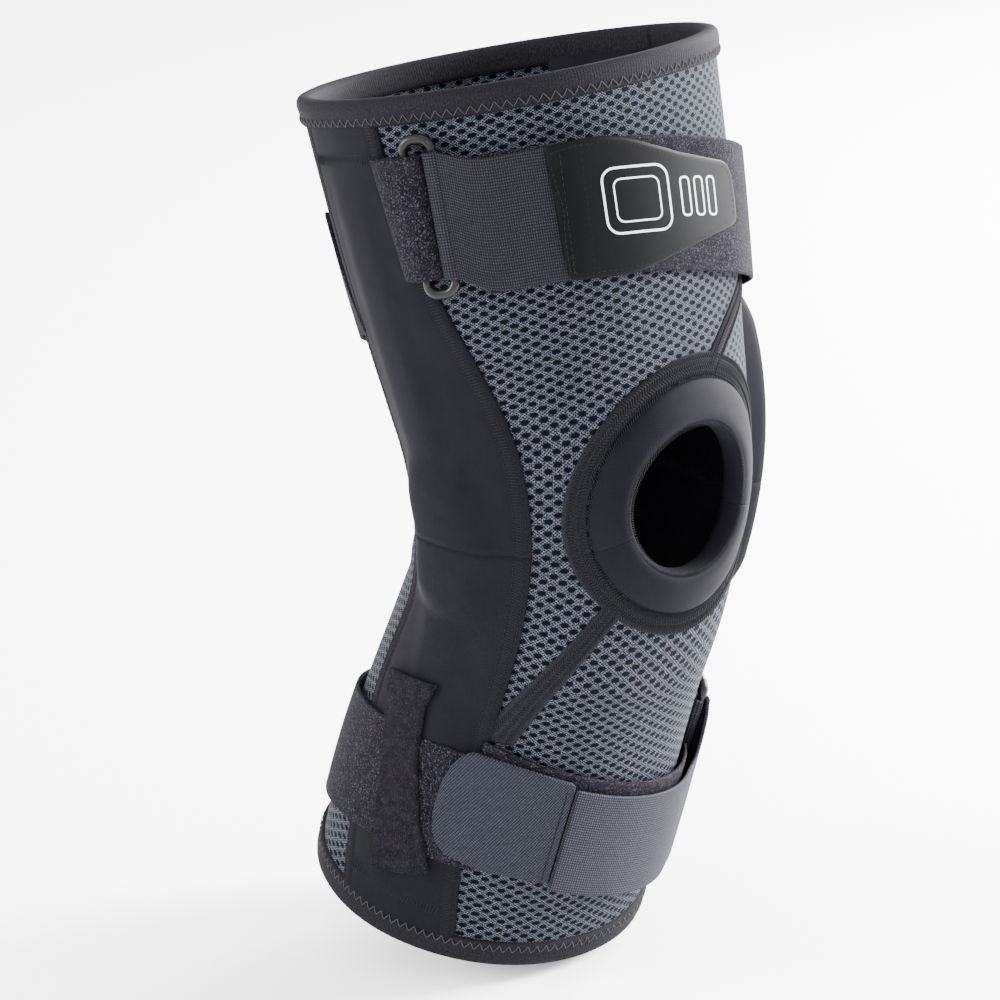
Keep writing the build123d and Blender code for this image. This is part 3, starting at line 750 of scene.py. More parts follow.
BINDING_PROFILE = [(-9.8, 0.1), (-9.6, 1.0), (-8.6, 1.5), (-6.6, 1.35), (-5.4, 1.5), (-2.6, 1.75),
                   (-0.8, 1.4), (0.3, 0.5), (0.7, -1.2), (0.5, -3.0), (-0.6, -4.6), (-2.6, -5.2),
                   (-7.8, -5.2), (-9.6, -4.9), (-9.8, -4.0)]


def binding(name, edge_s, up, body, node):
    """Elastic tape folded over an end of the sleeve."""
    phi = np.linspace(0, 360, 241)[:-1]
    profile = np.array(BINDING_PROFILE)
    s = edge_s + up * profile[:, 0]
    lift = profile[:, 1] + 0.12 * wave(np.zeros(1), phi[:, None], 5.0)
    s_grid, phi_grid = np.broadcast_arrays(s, phi[:, None])
    grid = lifted(s_grid, phi_grid, lift)
    turn = np.cumsum(np.linalg.norm(grid[:, 5] - np.roll(grid[:, 5], 1, 0), axis=-1))
    cloth = cloth_grid(turn[:, None], np.arange(len(s)) * 1.8)
    piece = closed_tube(name, grid, TAPE, cloth)
    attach(piece, body)
    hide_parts(node)


# ---- stitching --------------------------------------------------------------------------------
def tube_points(path, radius, sides=6):
    """Rings of points round a path; returns points and faces."""
    path = np.asarray(path, float)
    forward = np.gradient(path, axis=0)
    forward /= np.linalg.norm(forward, axis=1, keepdims=True)
    seed = np.array([0.31, 0.47, 0.83])
    a = np.cross(forward, seed)
    a /= np.linalg.norm(a, axis=1, keepdims=True)
    b = np.cross(forward, a)
    turn = np.linspace(0, 2 * np.pi, sides, endpoint=False)
    ring = a[:, None] * np.cos(turn)[None, :, None] + b[:, None] * np.sin(turn)[None, :, None]
    points = (path[:, None] + ring * np.asarray(radius).reshape(-1, 1, 1)).reshape(-1, 3)
    rows = len(path)
    faces = quads(rows, sides, False, True).tolist()
    faces += [list(range(sides))[::-1], list(range((rows - 1) * sides, rows * sides))]
    return points, faces


def thread(name, paths, radius, material, sides=6):
    """One mesh of many short or long threads."""
    points, faces, count = [], [], 0
    for path in paths:
        p, f = tube_points(path, radius, sides)
        points.append(p)
        faces += [[i + count for i in face] for face in f]
        count += len(p)
    points = np.concatenate(points)
    return make_mesh(name, points, faces, material, points)


def zigzag(name, edge_s, up, body, material):
    """Zigzag seam that holds a binding."""
    turns = 216
    phi = np.linspace(0, 360, turns + 1)
    near, far = edge_s - up * 6.0, edge_s - up * 8.9
    s = np.where(np.arange(turns + 1) % 2 == 0, near, far)
    paths = []
    for i in range(turns):
        t = np.linspace(0, 1, 5)
        lift = 1.35 + 0.42 * np.sin(np.pi * t)
        paths.append(lifted(s[i] + (s[i + 1] - s[i]) * t, phi[i] + (phi[i + 1] - phi[i]) * t, lift))
    piece = thread(name, paths, 0.17, material)
    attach(piece, body)


def dashes(s, phi, lift, pitch, share=0.7, arch=0.25):
    """Paths of running stitches along a line of sleeve places."""
    line = lifted(s, phi, lift)
    run = run_along(line)
    paths = []
    for k in range(int(run[-1] / pitch)):
        t = (k + np.linspace(0, share, 4)) * pitch
        bow = arch * np.sin(np.pi * np.linspace(0, 1, 4)) - 0.08
        paths.append(lifted(np.interp(t, run, s), np.interp(t, run, phi), np.interp(t, run, lift) + bow))
    return paths


def cross_stitches(s, phi, lift, pitch, width, arch=0.3, slant=0.3):
    """Short threads across a line of sleeve places, as a flatlock or overlock seam leaves."""
    line = lifted(s, phi, lift)
    run = run_along(line)
    ds, dphi = np.gradient(s, run), np.gradient(phi, run)
    size = np.radians(1) * 68
    norm = np.hypot(ds, dphi * size)
    paths = []
    for k in range(int(run[-1] / pitch)):
        at = (k + 0.5) * pitch
        s0, p0, h = np.interp(at, run, s), np.interp(at, run, phi), np.interp(at, run, lift)
        es, ep = np.interp(at, run, ds / norm), np.interp(at, run, dphi * size / norm)
        t = np.linspace(-0.5, 0.5, 4) * width
        bow = arch * np.cos(np.pi * np.linspace(-0.5, 0.5, 4)) - 0.05
        paths.append(lifted(s0 + t * (ep + slant * es), p0 + t * (-es + slant * ep) / size, h + bow))
    return paths


def offset_line(side, s, which, distance):
    """phi along a panel's edge, moved into the panel by distance."""
    sign = -1 if side == "lateral" else 1
    angle = front_angle(s) if which == "front" else back_angle(s)
    inward = 1 if which == "front" else -1
    per_degree = np.linalg.norm(skin(s, 180 + angle + 0.5) - skin(s, 180 + angle - 0.5), axis=-1)
    turned = angle + inward * distance / per_degree
    return 180 - turned if sign < 0 else turned


def panel_seams(side, half, low, high):
    """Flatlock seam on a panel's edges: two needle lines and the threads between them."""
    s = np.linspace(low + 0.4, high - 0.4, 160)
    paths = []
    for which in ("front", "back"):
        mid = offset_line(side, s, which, (STITCH_A + STITCH_B) / 2)
        gap = STITCH_B - STITCH_A
        paths += cross_stitches(s, mid, np.full(160, COVER_PROUD + 0.02), 1.15, gap, 0.14, 0.12)
        for d in (STITCH_A, STITCH_B):
            line = offset_line(side, s, which, d)
            paths += dashes(s, line, np.full(160, COVER_PROUD - 0.1), 2.3, 0.75, 0.22)
    end = 144.0 if half == UPPER else -146.0
    first, last = (offset_line(side, np.array([end]), which, 6)[0] for which in ("back", "front"))
    across = np.linspace(first, last, 80)
    for shift in (-1.8, 1.8):
        paths += dashes(np.full(80, end + shift), across, np.full(80, COVER_PROUD + 0.1), 2.3, 0.75, 0.22)
    paths += cross_stitches(np.full(80, end), across, np.full(80, COVER_PROUD + 0.14), 1.3, 3.4, 0.14, 0.12)
    piece = thread(f"{side}_panel_seams_{half}", paths, 0.17, DARK_THREAD, 5)
    follow(piece, half, "binding_tape")


# ---- kneecap ring and its seam tape ---------------------------------------------------------------
RING_PROFILE = [(1.00, 0.2), (1.0, 0.9), (0.95, 1.7), (0.84, 2.5), (0.66, 3.4), (0.44, 4.2), (0.26, 4.7),
                (0.12, 4.5), (0.02, 3.4), (-0.02, 1.6), (-0.02, -1.0), (0.02, -3.2), (0.14, -4.6),
                (0.40, -4.9), (0.70, -4.6), (0.78, -3.8), (0.80, -0.4), (0.9, 0.0)]
CUT_TURN = 0.32                              # radians below the ring's middle, level with the sleeve's cut
RING_HALVES = ((UPPER, -CUT_TURN, np.pi + CUT_TURN), (LOWER, np.pi + CUT_TURN, 2 * np.pi - CUT_TURN))


def ring_place(turn, share):
    """(s, phi) at an angle round the kneecap ring, share 0 at the hole and 1 at the rim."""
    a = HOLE_A + (RING_A - HOLE_A) * share
    b = HOLE_B + (RING_B - HOLE_B) * share
    x = HOLE_X + (RING_X - HOLE_X) * share + a * np.cos(turn)
    z = HOLE_Z + (RING_Z - HOLE_Z) * share + b * np.sin(turn)
    return at_front(x, z)


def smooth_profile(profile, count):
    """Closed profile resampled smoothly."""
    profile = np.array(profile + profile[:1])
    run = np.arange(len(profile)) / (len(profile) - 1)
    t = np.linspace(0, 1, count, endpoint=False)
    wide = np.concatenate([run[-5:-1] - 1, run, run[1:5] + 1])
    pick = np.concatenate([profile[-5:-1], profile, profile[1:5]])
    return np.stack([spline(t, wide, pick[:, k]) for k in range(2)], -1)


def patella_ring():
    """Puffy ring of moulded foam in jersey, cut in two at the sleeve's middle line."""
    profile = smooth_profile(RING_PROFILE, 40)
    for half, start, end in RING_HALVES:
        turn = np.linspace(start, end, 120)
        share = np.broadcast_to(profile[:, 0], (120, 40))
        s, phi = ring_place(turn[:, None], share)
        pad = 0.25 * wave(s, phi, 7.0)
        grid = lifted(s, phi, profile[:, 1] + pad)
        piece = closed_tube(f"patella_buttress_{half}", grid, NEOPRENE, wrap_rows=False)
        follow(piece, half, "neoprene", "patella_buttress")
        paths = []
        for share_at, lift_at, width, pitch in ((0.985, 1.25, 1.8, 1.1), (0.055, 4.05, 2.4, 1.0)):
            s, phi = ring_place(turn, np.full(120, share_at))
            paths += cross_stitches(s, phi, np.full(120, lift_at), pitch, width, 0.25, 0.5)
        stitches = thread(f"patella_stitches_{half}", paths, 0.16, DARK_THREAD, 5)
        follow(stitches, half, "binding_tape")


TAPE_IN, TAPE_OUT, TAPE_LIFT = 1.03, 1.55, 0.75
BRANCHES = {"upper": [(10, 60), (22, 69), (36, 76), (50, 80), (62, 80)],
            "lower": [(-34, -23), (-42, -39), (-49, -57), (-55, -78)]}


def seam_tape():
    """Dark stitched band round the kneecap ring."""
    for half, start, end in RING_HALVES:
        turn = np.linspace(start, end, 140)
        share = np.array([TAPE_IN, TAPE_IN + 0.03, (TAPE_IN + TAPE_OUT) / 2, TAPE_OUT - 0.04, TAPE_OUT])
        s, phi = ring_place(turn[:, None], np.broadcast_to(share, (140, 5)))
        height = np.array([0.15, TAPE_LIFT, TAPE_LIFT, TAPE_LIFT, 0.15])
        grid = shell(f"patella_seam_tape_{half}", lifted(s, phi, np.broadcast_to(height, (140, 5))),
                     lifted(s, phi, np.full((140, 5), -0.5)), SEAM_TAPE)
        follow(grid, half, "binding_tape", "patella_seam_tape")
        paths = []
        for at, slant in ((1.10, 0.7), (1.22, -0.7), (1.34, 0.7), (1.46, -0.7)):
            s, phi = ring_place(turn, np.full(140, at))
            paths += cross_stitches(s, phi, np.full(140, TAPE_LIFT), 1.25, 1.9, 0.3, slant)
        follow(thread(f"patella_tape_stitches_{half}", paths, 0.2, DARK_THREAD, 5), half, "binding_tape")


def seam_branches():
    """The two stitched seams that run off the kneecap ring's band."""
    for half, path in BRANCHES.items():
        path = np.array(path, float)
        t = np.linspace(0, len(path) - 1, 50)
        x, z = (spline(t, np.arange(len(path)), path[:, k]) for k in range(2))
        step = np.gradient(np.stack([x, z], -1), axis=0)
        step /= np.linalg.norm(step, axis=1, keepdims=True)
        across = np.array([-4.0, -3.6, 0, 3.6, 4.0])
        s, phi = at_front(x[:, None] - step[:, 1:] * across, z[:, None] + step[:, :1] * across)
        height = np.array([0.1, 0.75, 0.75, 0.75, 0.1])
        tape = shell(f"seam_branch_{half}", lifted(s, phi, np.broadcast_to(height, s.shape)),
                     lifted(s, phi, np.full(s.shape, -0.5)), SEAM_TAPE)
        follow(tape, half, "binding_tape")
        paths = []
        for k, slant in ((-2.2, 0.7), (0.0, -0.7), (2.2, 0.7)):
            sa, pa = at_front(x - step[:, 1] * k, z + step[:, 0] * k)
            paths += cross_stitches(sa, pa, np.full(50, 0.75), 1.25, 1.9, 0.3, slant)
        follow(thread(f"seam_branch_stitches_{half}", paths, 0.2, DARK_THREAD, 5), half, "binding_tape")


# ---- straps ----------------------------------------------------------------------------------------
UPPER_BAND = ((0, 0, 102.7), (0.19, 0.42, 1))
LOOP_BAND = ((0, 0, -120.4), (0.24, -0.15, 1))
FRONT_BAND = ((0, 0, -117.0), (0.25, -0.40, 1))
UPPER_W, LOWER_W = 47.5, 45.0


def ribbon(name, phi, lift, width, thick, band, material, body, slot, *nodes, centre=0.0, shear=None):
    """Strap along phi at lift, both one value per row; width and centre may vary along it.

    shear gives the extra turn of a place at an angle and a distance off the strap's middle line.
    """
    phi = np.asarray(phi, float)
    rows = len(phi)
    width = np.broadcast_to(np.asarray(width, float), (rows,))
    centre = np.broadcast_to(np.asarray(centre, float), (rows,))
    across = edge_steps(width, 3.0, (0, 0.35, 0.8, 1.6))
    edge = np.minimum(across, width[:, None] - across)
    level = np.asarray(lift, float)[:, None] if np.ndim(lift) == 1 else lift
    offset = across - width[:, None] / 2
    turn = phi[:, None] + (0 if shear is None else shear(phi[:, None], offset))
    s, turn = on_band(turn, offset + centre[:, None], *band)
    half = thick / 2 * (0.35 + 0.65 * rounded(edge, 0.9))
    mid = level + np.zeros(across.shape)
    outer, inner = lifted(s, turn, mid + half), lifted(s, turn, mid - half)
    run = run_along(outer[:, outer.shape[1] // 2])
    cloth = cloth_grid(run[:, None], across)
    piece = shell(name, outer, inner, material, cloth)
    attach(piece, body)
    if nodes:
        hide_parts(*nodes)
    return piece


def span(low, high, step=1.4):
    return np.linspace(low, high, max(4, int(abs(high - low) / step)))


# ---- rings ------------------------------------------------------------------------------------------
WIRE = 1.55


def axis_of(joint):
    """Bar line of a ring: its middle and direction upwards."""
    j = JOINTS[joint]
    middle = np.array(j["pos_m"]) / MM
    direction = np.array(j["axis"], float)
    direction *= np.sign(direction[2])
    return middle, direction


def ring_frame(which):
    """Rear bar, front bar, direction along the bars and outward normal of a ring."""
    rear, up = axis_of(f"{which}_ring_swivel")
    front, _ = axis_of(f"{which}_closure_peel")
    across = front - rear
    across -= up * (across @ up)
    reach = np.linalg.norm(across)
    across /= reach
    out = np.cross(up, across)
    if out[0] * rear[0] < 0:
        out = -out
    return rear, front, up, across, reach, out


def ring(which, height):
    """Moulded rectangular loop with rounded corners and flattened bars."""
    rear, front, up, across, reach, out = ring_frame(which)
    middle = (rear + front) / 2
    a, b, corner = height / 2, reach / 2, 4.2
    path = []
    for cx, cy, start in ((a - corner, b - corner, 0), (-(a - corner), b - corner, 90),
                          (-(a - corner), -(b - corner), 180), (a - corner, -(b - corner), 270)):
        for k in range(9):
            t = math.radians(start + k * 90 / 8)
            path.append((cx + corner * math.cos(t), cy + corner * math.sin(t)))
    path = np.array(path)
    dense = []
    for p, q in zip(path, np.roll(path, -1, 0)):
        steps = max(1, int(np.linalg.norm(q - p) / 1.5))
        dense += [p + (q - p) * k / steps for k in range(steps)]
    path = np.array(dense)
    forward = np.roll(path, -1, 0) - np.roll(path, 1, 0)
    forward /= np.linalg.norm(forward, axis=1, keepdims=True)
    side = np.stack([forward[:, 1], -forward[:, 0]], -1)
    turn = np.linspace(0, 2 * np.pi, 14, endpoint=False)
    end = ramp(np.abs(path[:, 0]), a - 5, a - 1.5)[:, None]
    wide = (WIRE + 0.35 * end) * np.sign(np.cos(turn)) * np.abs(np.cos(turn)) ** 0.85
    tall = (WIRE + 0.55 * end) * np.sign(np.sin(turn)) * np.abs(np.sin(turn)) ** 0.85
    flat = path[:, None] + side[:, None] * wide[..., None]
    points = middle + flat[..., :1] * up + flat[..., 1:] * across + tall[..., None] * out
    piece = closed_tube(f"{which}_ring_loop", points, RING_PLASTIC)
    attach(piece, f"{which}_ring")
    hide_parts(f"{which}_ring")
    return piece


def eye_wrap(name, which, bar, width, leave, thick, material, body, slot, *nodes, shift=0.0, turns=300.0):
    """Strap folded round a ring's bar, its two ends leaving together along a direction.

    bar is 'rear' or 'front'; leave is the pull direction, as a unit vector.
    """
    rear, front, up, _, _, _ = ring_frame(which)
    centre = rear if bar == "rear" else front
    leave = leave - up * (leave @ up)
    leave /= np.linalg.norm(leave)
    normal = np.cross(up, leave)
    radius = WIRE + 0.75 + thick / 2
    turn = np.radians(np.linspace((360 - turns) / 2, 360 - (360 - turns) / 2, 30))
    line = centre + radius * (np.cos(turn)[:, None] * leave + np.sin(turn)[:, None] * normal)
    rim = np.array([0, 0.4, 0.9])
    across_list = np.concatenate([rim, np.linspace(2, width - 2, 12), width - rim[::-1]])
    edge = np.minimum(across_list, width - across_list)
    half = thick / 2 * (0.45 + 0.55 * rounded(edge, 0.9))
    radial = np.cos(turn)[:, None] * leave + np.sin(turn)[:, None] * normal
    place = line[:, None] + (across_list - width / 2 + shift)[None, :, None] * up
    proud = radial[:, None] * half[None, :, None]
    outer, inner = place + proud, place - proud
    cloth = cloth_grid((turn * radius)[:, None], across_list)
    piece = shell(name, outer, inner, material, cloth)
    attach(piece, body)
    if nodes:
        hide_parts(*nodes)
    return piece


# ---- the two straps with their closures -----------------------------------------------------------
def flat_patch(name, outline, band, lift, thick, material, body, slot, *nodes,
               step=1.6, curl=None, radius=0.7):
    """Cut piece lying round the leg: outline as (phi, across) places on a band, raised to lift."""
    outline = np.array(outline, float)
    closed = np.concatenate([outline, outline[:1]])
    dense = []
    for p, q in zip(closed[:-1], closed[1:]):
        count = max(2, int(np.hypot((q[0] - p[0]) * 1.2, q[1] - p[1]) / step))
        dense += [p + (q - p) * k / count for k in range(count)]
    dense = np.array(dense)
    for _ in range(2):
        dense = (np.roll(dense, 1, 0) + 2 * dense + np.roll(dense, -1, 0)) / 4
    left, right = dense[:, 0].min(), dense[:, 0].max()
    columns = np.concatenate([left + np.array([0.05, 0.3, 0.8, 1.5]),
                              np.arange(left + 2.4, right - 2.0, step / 1.2),
                              right - np.array([1.5, 0.8, 0.3, 0.05])])
    low, high = [], []
    for c in columns:
        hits = []
        for p, q in zip(dense, np.roll(dense, -1, 0)):
            if (p[0] - c) * (q[0] - c) <= 0 and p[0] != q[0]:
                hits.append(p[1] + (q[1] - p[1]) * (c - p[0]) / (q[0] - p[0]))
        low.append(min(hits))
        high.append(max(hits))
    low, high = np.array(low), np.array(high)
    share = np.concatenate([[0, 0.012, 0.035, 0.08], np.linspace(0.14, 0.86, 22), [0.92, 0.965, 0.988, 1]])
    across = low[:, None] + (high - low)[:, None] * share
    phi = np.broadcast_to(columns[:, None], across.shape)
    end_gap = np.minimum(phi - left, right - phi) * 1.2
    edge = np.minimum(np.minimum(across - low[:, None], high[:, None] - across), end_gap)
    level = np.full(across.shape, float(lift))
    if curl is not None:
        level = level + curl(phi, across)
    s, turn = on_band(phi, across, *band)
    half = thick / 2 * (0.25 + 0.75 * rounded(edge, radius))
    outer, inner = lifted(s, turn, level + half), lifted(s, turn, level - half)
    run = run_along(outer[:, 12])
    cloth = np.stack([np.broadcast_to(run[:, None], across.shape), across, edge], -1)
    piece = shell(name, outer, inner, material, cloth)
    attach(piece, body)
    if nodes:
        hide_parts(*nodes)
    return piece, dense


def band_stitches(name, points, band, lift, material, body, pitch=2.6, radius=0.17, share=0.7):
    """Running stitches along (phi, across) places on a band."""
    points = np.array(points, float)
    t = np.linspace(0, len(points) - 1, 40 * len(points))
    phi = np.interp(t, np.arange(len(points)), points[:, 0])
    across = np.interp(t, np.arange(len(points)), points[:, 1])
    s, turn = on_band(phi, across, *band)
    level = np.full(len(s), lift) if np.ndim(lift) == 0 else np.interp(t, np.arange(len(points)), lift)
    piece = thread(name, dashes(s, turn, level, pitch, share), radius, material, 5)
    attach(piece, body)
    return piece


def solid_line(name, outline, band, lift, half_width, thick, material, body):
    """Printed or raised line of one width along (phi, across) places, closed on itself."""
    pts = np.array(outline, float)
    s, turn = on_band(pts[:, 0], pts[:, 1], *band)
    centre = lifted(s, turn, np.full(len(s), float(lift)))
    n = skin_normal(s, turn)
    forward = np.roll(centre, -1, 0) - np.roll(centre, 1, 0)
    side = np.cross(n, forward)
    side /= np.linalg.norm(side, axis=1, keepdims=True)
    corners = np.stack([centre + side * half_width + n * thick, centre - side * half_width + n * thick,
                        centre - side * half_width - n * 0.4, centre + side * half_width - n * 0.4], 1)
    piece = closed_tube(name, corners, material)
    piece.data.polygons.foreach_set("use_smooth", [False] * len(piece.data.polygons))
    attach(piece, body)
    return piece


def rounded_box(phi0, phi1, w0, w1, corner, per_degree):
    """(phi, across) outline of a box with rounded corners."""
    rx = corner / per_degree
    points = []
    for cx, cy, start in ((phi1 - rx, w1 - corner, 0), (phi0 + rx, w1 - corner, 90),
                          (phi0 + rx, w0 + corner, 180), (phi1 - rx, w0 + corner, 270)):
        for k in range(7):
            t = math.radians(start + 15 * k)
            points.append((cx + rx * math.cos(t), cy + corner * math.sin(t)))
    return points


def resample(points, step=1.2):
    points = np.array(points, float)
    closed = np.concatenate([points, points[:1]])
    out = []
    for p, q in zip(closed[:-1], closed[1:]):
        count = max(1, int(np.hypot((q[0] - p[0]) * 1.2, q[1] - p[1]) / step))
        out += [p + (q - p) * k / count for k in range(count)]
    return np.array(out)


def upper_strap():
    """Wide loop strap: under the pull tab, across the front, round the medial side to the back."""
    phi = span(-150, 133)
    lift = 2.2 + 2.6 * ramp(phi, -88, -62) * (1 - ramp(phi, -52, -10)) - 1.2 * ramp(phi, 118, 133)
    centre = -1.2 * ramp(phi, -110, -60) * (1 - ramp(phi, -60, 0))
    ribbon("upper_loop_band", phi, lift, UPPER_W, 1.7, UPPER_BAND, LOOP_CLOTH, "thigh", "loop_fabric",
           "upper_loop_strap", centre=centre,
           shear=lambda turn, offset: ramp(turn, 90, 133) * (9.5 - offset * 0.38))
    for k, w in enumerate((-UPPER_W / 2 + 2.4, UPPER_W / 2 - 2.4)):
        line = [(p, w) for p in np.linspace(-88, 112, 60)]
        band_stitches(f"upper_loop_stitches_{k}", line, UPPER_BAND, 3.15, DARK_THREAD,
                      "thigh")


FOLD = [(-1.0, -5.3), (-0.55, -4.9), (-0.15, -4.3), (2.5, -4.0), (5.2, -3.0), (6.4, -0.6), (5.9, 1.8),
        (3.6, 3.4), (0.4, 3.9), (-0.22, 3.0), (-0.6, 1.0), (-0.88, -1.6), (-1.0, -3.6)]


def chafe(name, which, width, reach_top, reach_low, body, node):
    """Brushed strap folded round a ring's rear bar, both its ends sewn down behind the bar.

    The fold's points are across and outwards from the bar; negative places across are shares
    of the reach back to the stitching, which is longer at one end of the bar than the other.
    """
    rear, _, up, across, _, out = ring_frame(which)
    t = np.linspace(0, len(FOLD) - 1, 60)
    fold = np.stack([spline(t, np.arange(len(FOLD)), np.array(FOLD)[:, k]) for k in range(2)], -1)
    rim = np.array([0, 0.4, 1.0])
    places = np.concatenate([rim, np.linspace(2.2, width - 2.2, 14), width - rim[::-1]])
    edge = np.minimum(places, width - places)
    back = reach_low + (reach_top - reach_low) * places / width
    x = np.where(fold[:, :1] < 0, fold[:, :1] * back, np.broadcast_to(fold[:, :1], (60, len(places))))
    drop = np.where(x < 0, x ** 2 / 130, 0)
    middle = rear + x[..., None] * across + (fold[:, 1:] - drop)[..., None] * out
    middle = middle + (places - width / 2)[None, :, None] * up
    normal = np.cross(np.gradient(middle, axis=0), up)
    normal /= np.linalg.norm(normal, axis=-1, keepdims=True)
    half = (0.75 * (0.45 + 0.55 * rounded(edge, 1.0)))[None, :, None]
    piece = shell(name, middle + normal * half, middle - normal * half, LOOP_CLOTH)
    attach(piece, body)
    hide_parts(node)
    paths = []
    for share in (0.80, 0.93):
        k = int(np.argmin(np.abs(fold[30:, 0] + share))) + 30
        line = middle[k] + normal[k] * 0.8
        for i in range(1, len(places) - 2):
            mid = (line[i] + line[i + 1]) / 2 + normal[k, i] * 0.25
            paths.append(np.array([line[i], mid, line[i] * 0.3 + line[i + 1] * 0.7]))
    stitches = thread(f"{name}_stitches", paths, 0.2, DARK_THREAD, 5)
    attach(stitches, body)


EYE_TOP = 2.6                                # from a bar to the strap over it
EYE_RISE = 3.4                               # extra lift of the strap where it leaves its eye
LEAD_ROWS = 8
SMOOTH_PASSES = 24


def pull_part(name, which, band, start, lift, width, thick, material, slot, node, end):
    """Strap from a ring's front bar round the leg: eye about the bar, then along the band."""
    _, front, up, _, _, out = ring_frame(which)
    phi = span(start, end)
    first = lifted(*on_band(np.array([start]), np.array([0.0]), *band), np.array([lift + EYE_RISE]))[0]
    pull = first - front
    eye_wrap(f"{name}_eye", which, "front", width, pull / np.linalg.norm(pull), thick, material,
             f"{which}_closure", slot, node, turns=310)
    ribbon_points(name, front, up, out, first, phi, lift, width, thick, band, material,
                  f"{which}_closure", node)


def ribbon_points(name, front, up, out, first, phi, lift, width, thick, band, material, body, node):
    """Ribbon that starts over the bar and settles on the band."""
    across = edge_steps(np.full(len(phi), width), 3.0, (0, 0.35, 0.8, 1.6))
    edge = np.minimum(across, width - across)
    s, turn = on_band(phi[:, None], across - width / 2, *band)
    half = thick / 2 * (0.35 + 0.65 * rounded(edge, 0.9))
    rise = EYE_RISE * (1 - ramp(np.abs(phi - phi[0]), 0, 16))[:, None]
    mid = lifted(s, turn, lift + rise + np.zeros(s.shape))
    n = skin_normal(s, turn)
    seat = front + out * EYE_TOP
    pull = first - seat
    pull = pull - up * (pull @ up)
    reach = np.linalg.norm(pull)
    pull /= reach
    lead = np.linspace(0, reach - 0.8, LEAD_ROWS)
    lead_mid = seat + lead[:, None, None] * pull + (across[0] - width / 2)[None, :, None] * up
    side = np.cross(up, pull)
    if side @ n[0, n.shape[1] // 2] < 0:
        side = -side
    mids = np.concatenate([lead_mid, mid])
    normals = np.concatenate([np.broadcast_to(side, lead_mid.shape), n])
    for _ in range(SMOOTH_PASSES):
        soft = mids.copy()
        soft[1:-1] = (mids[:-2] + 2 * mids[1:-1] + mids[2:]) / 4
        near = ramp(np.arange(len(mids)), 22, 12)[:, None, None]
        near[0] = 0
        mids = mids + (soft - mids) * near
        turned = normals.copy()
        turned[1:-1] = (normals[:-2] + 2 * normals[1:-1] + normals[2:]) / 4
        normals = normals + (turned - normals) * near
    normals /= np.linalg.norm(normals, axis=-1, keepdims=True)
    halves = np.concatenate([np.broadcast_to(half[0], (LEAD_ROWS, half.shape[1])), half])[..., None]
    outer, inner = mids + normals * halves, mids - normals * halves
    run = run_along(mids[:, 8])
    cloth = cloth_grid(run[:, None], across[0])
    piece = shell(name, outer, inner, material, cloth)
    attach(piece, body)
    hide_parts(node)


TAB_OUTLINE = [(230.5, 23.4), (238, 24.6), (246, 25.0), (252, 23.6), (260, 20.2), (268, 17.2),
               (278, 15.2), (286.5, 14.2), (288.6, 12.2), (289.6, 7.0), (290.2, 0.0), (290.4, -5.4),
               (288.8, -7.8), (284, -9.6), (276, -12.4), (267, -16.0), (258, -19.8), (251, -22.6),
               (245, -23.4), (238, -23.3), (231.5, -23.0)]
HOOK_OUTLINE = [(240, 21.0), (250, 20.0), (262, 15.0), (278, 11.5), (283, 6), (283, -3), (272, -9),
                (260, -14.5), (250, -18.5), (240, -19.0)]
TAB_LIFT = 7.2


def upper_closure():
    """Upper elastic, its hook patch and the moulded pull tab with a plain motif."""
    pull_part("upper_elastic_band", "upper", UPPER_BAND, 207, 4.6, UPPER_W - 1.5, 1.5, GREY_ELASTIC,
              "elastic_webbing", "upper_elastic_strap", 241)
    flat_patch("upper_hook_pad", HOOK_OUTLINE, UPPER_BAND, 5.4, 1.2, HOOK, "upper_closure", "hook_tape",
               "upper_hook_patch", step=2.4)
    _, edge = flat_patch("upper_tab", TAB_OUTLINE, UPPER_BAND, TAB_LIFT, 1.7, RUBBER, "upper_closure",
                         "rubber_tab", "upper_pull_tab", step=1.4, radius=0.9,
                         curl=lambda phi, across: -1.2 * ramp(phi, 236, 231))
    middle = np.array([np.interp(edge[:, 0], [230, 285], [2, 3])]).T
    inset = edge.copy()
    centre = np.concatenate([np.clip(edge[:, :1], 236, 279), middle], 1)
    away = centre - edge
    away[:, 0] *= 1.2
    away /= np.linalg.norm(away, axis=1, keepdims=True)
    inset[:, 0] += away[:, 0] * 2.1 / 1.2
    inset[:, 1] += away[:, 1] * 2.1
    border = np.concatenate([inset, inset[:1]])[::3]
    band_stitches("upper_tab_border", border, UPPER_BAND, TAB_LIFT + 0.72, DARK_THREAD,
                  "upper_closure", 2.2, 0.13)
    for k, place in enumerate((233.0, 238.5)):
        line = [(place + 0.9 * (w + 21) / 45, w) for w in np.linspace(-20.4, 23.6, 20)]
        band_stitches(f"upper_tab_stitches_{k}", line, UPPER_BAND, TAB_LIFT + 0.62, DARK_THREAD,
                      "upper_closure", 2.6, 0.15)
    top = TAB_LIFT + 0.87
    frame_line = resample(rounded_box(243.5, 262.5, -9.0, 13.5, 4.5, 1.25))
    solid_line("upper_tab_motif_frame", frame_line, UPPER_BAND, top, 0.42, 0.10, WHITE_INK, "upper_closure")
    inner_line = resample(rounded_box(246.5, 259.5, -5.2, 9.6, 2.6, 1.25), 0.8)
    solid_line("upper_tab_motif_core", inner_line, UPPER_BAND, top, 0.30, 0.10, WHITE_INK, "upper_closure")
    for k, (a, b) in enumerate(((266.5, 269.5), (271.5, 274.5), (276.5, 279.5))):
        bar = resample(rounded_box(a, b, -4.6, 8.6, 1.4, 1.25), 0.8)
        solid_line(f"upper_tab_motif_slot_{k}", bar, UPPER_BAND, top, 0.36, 0.10, WHITE_INK, "upper_closure")


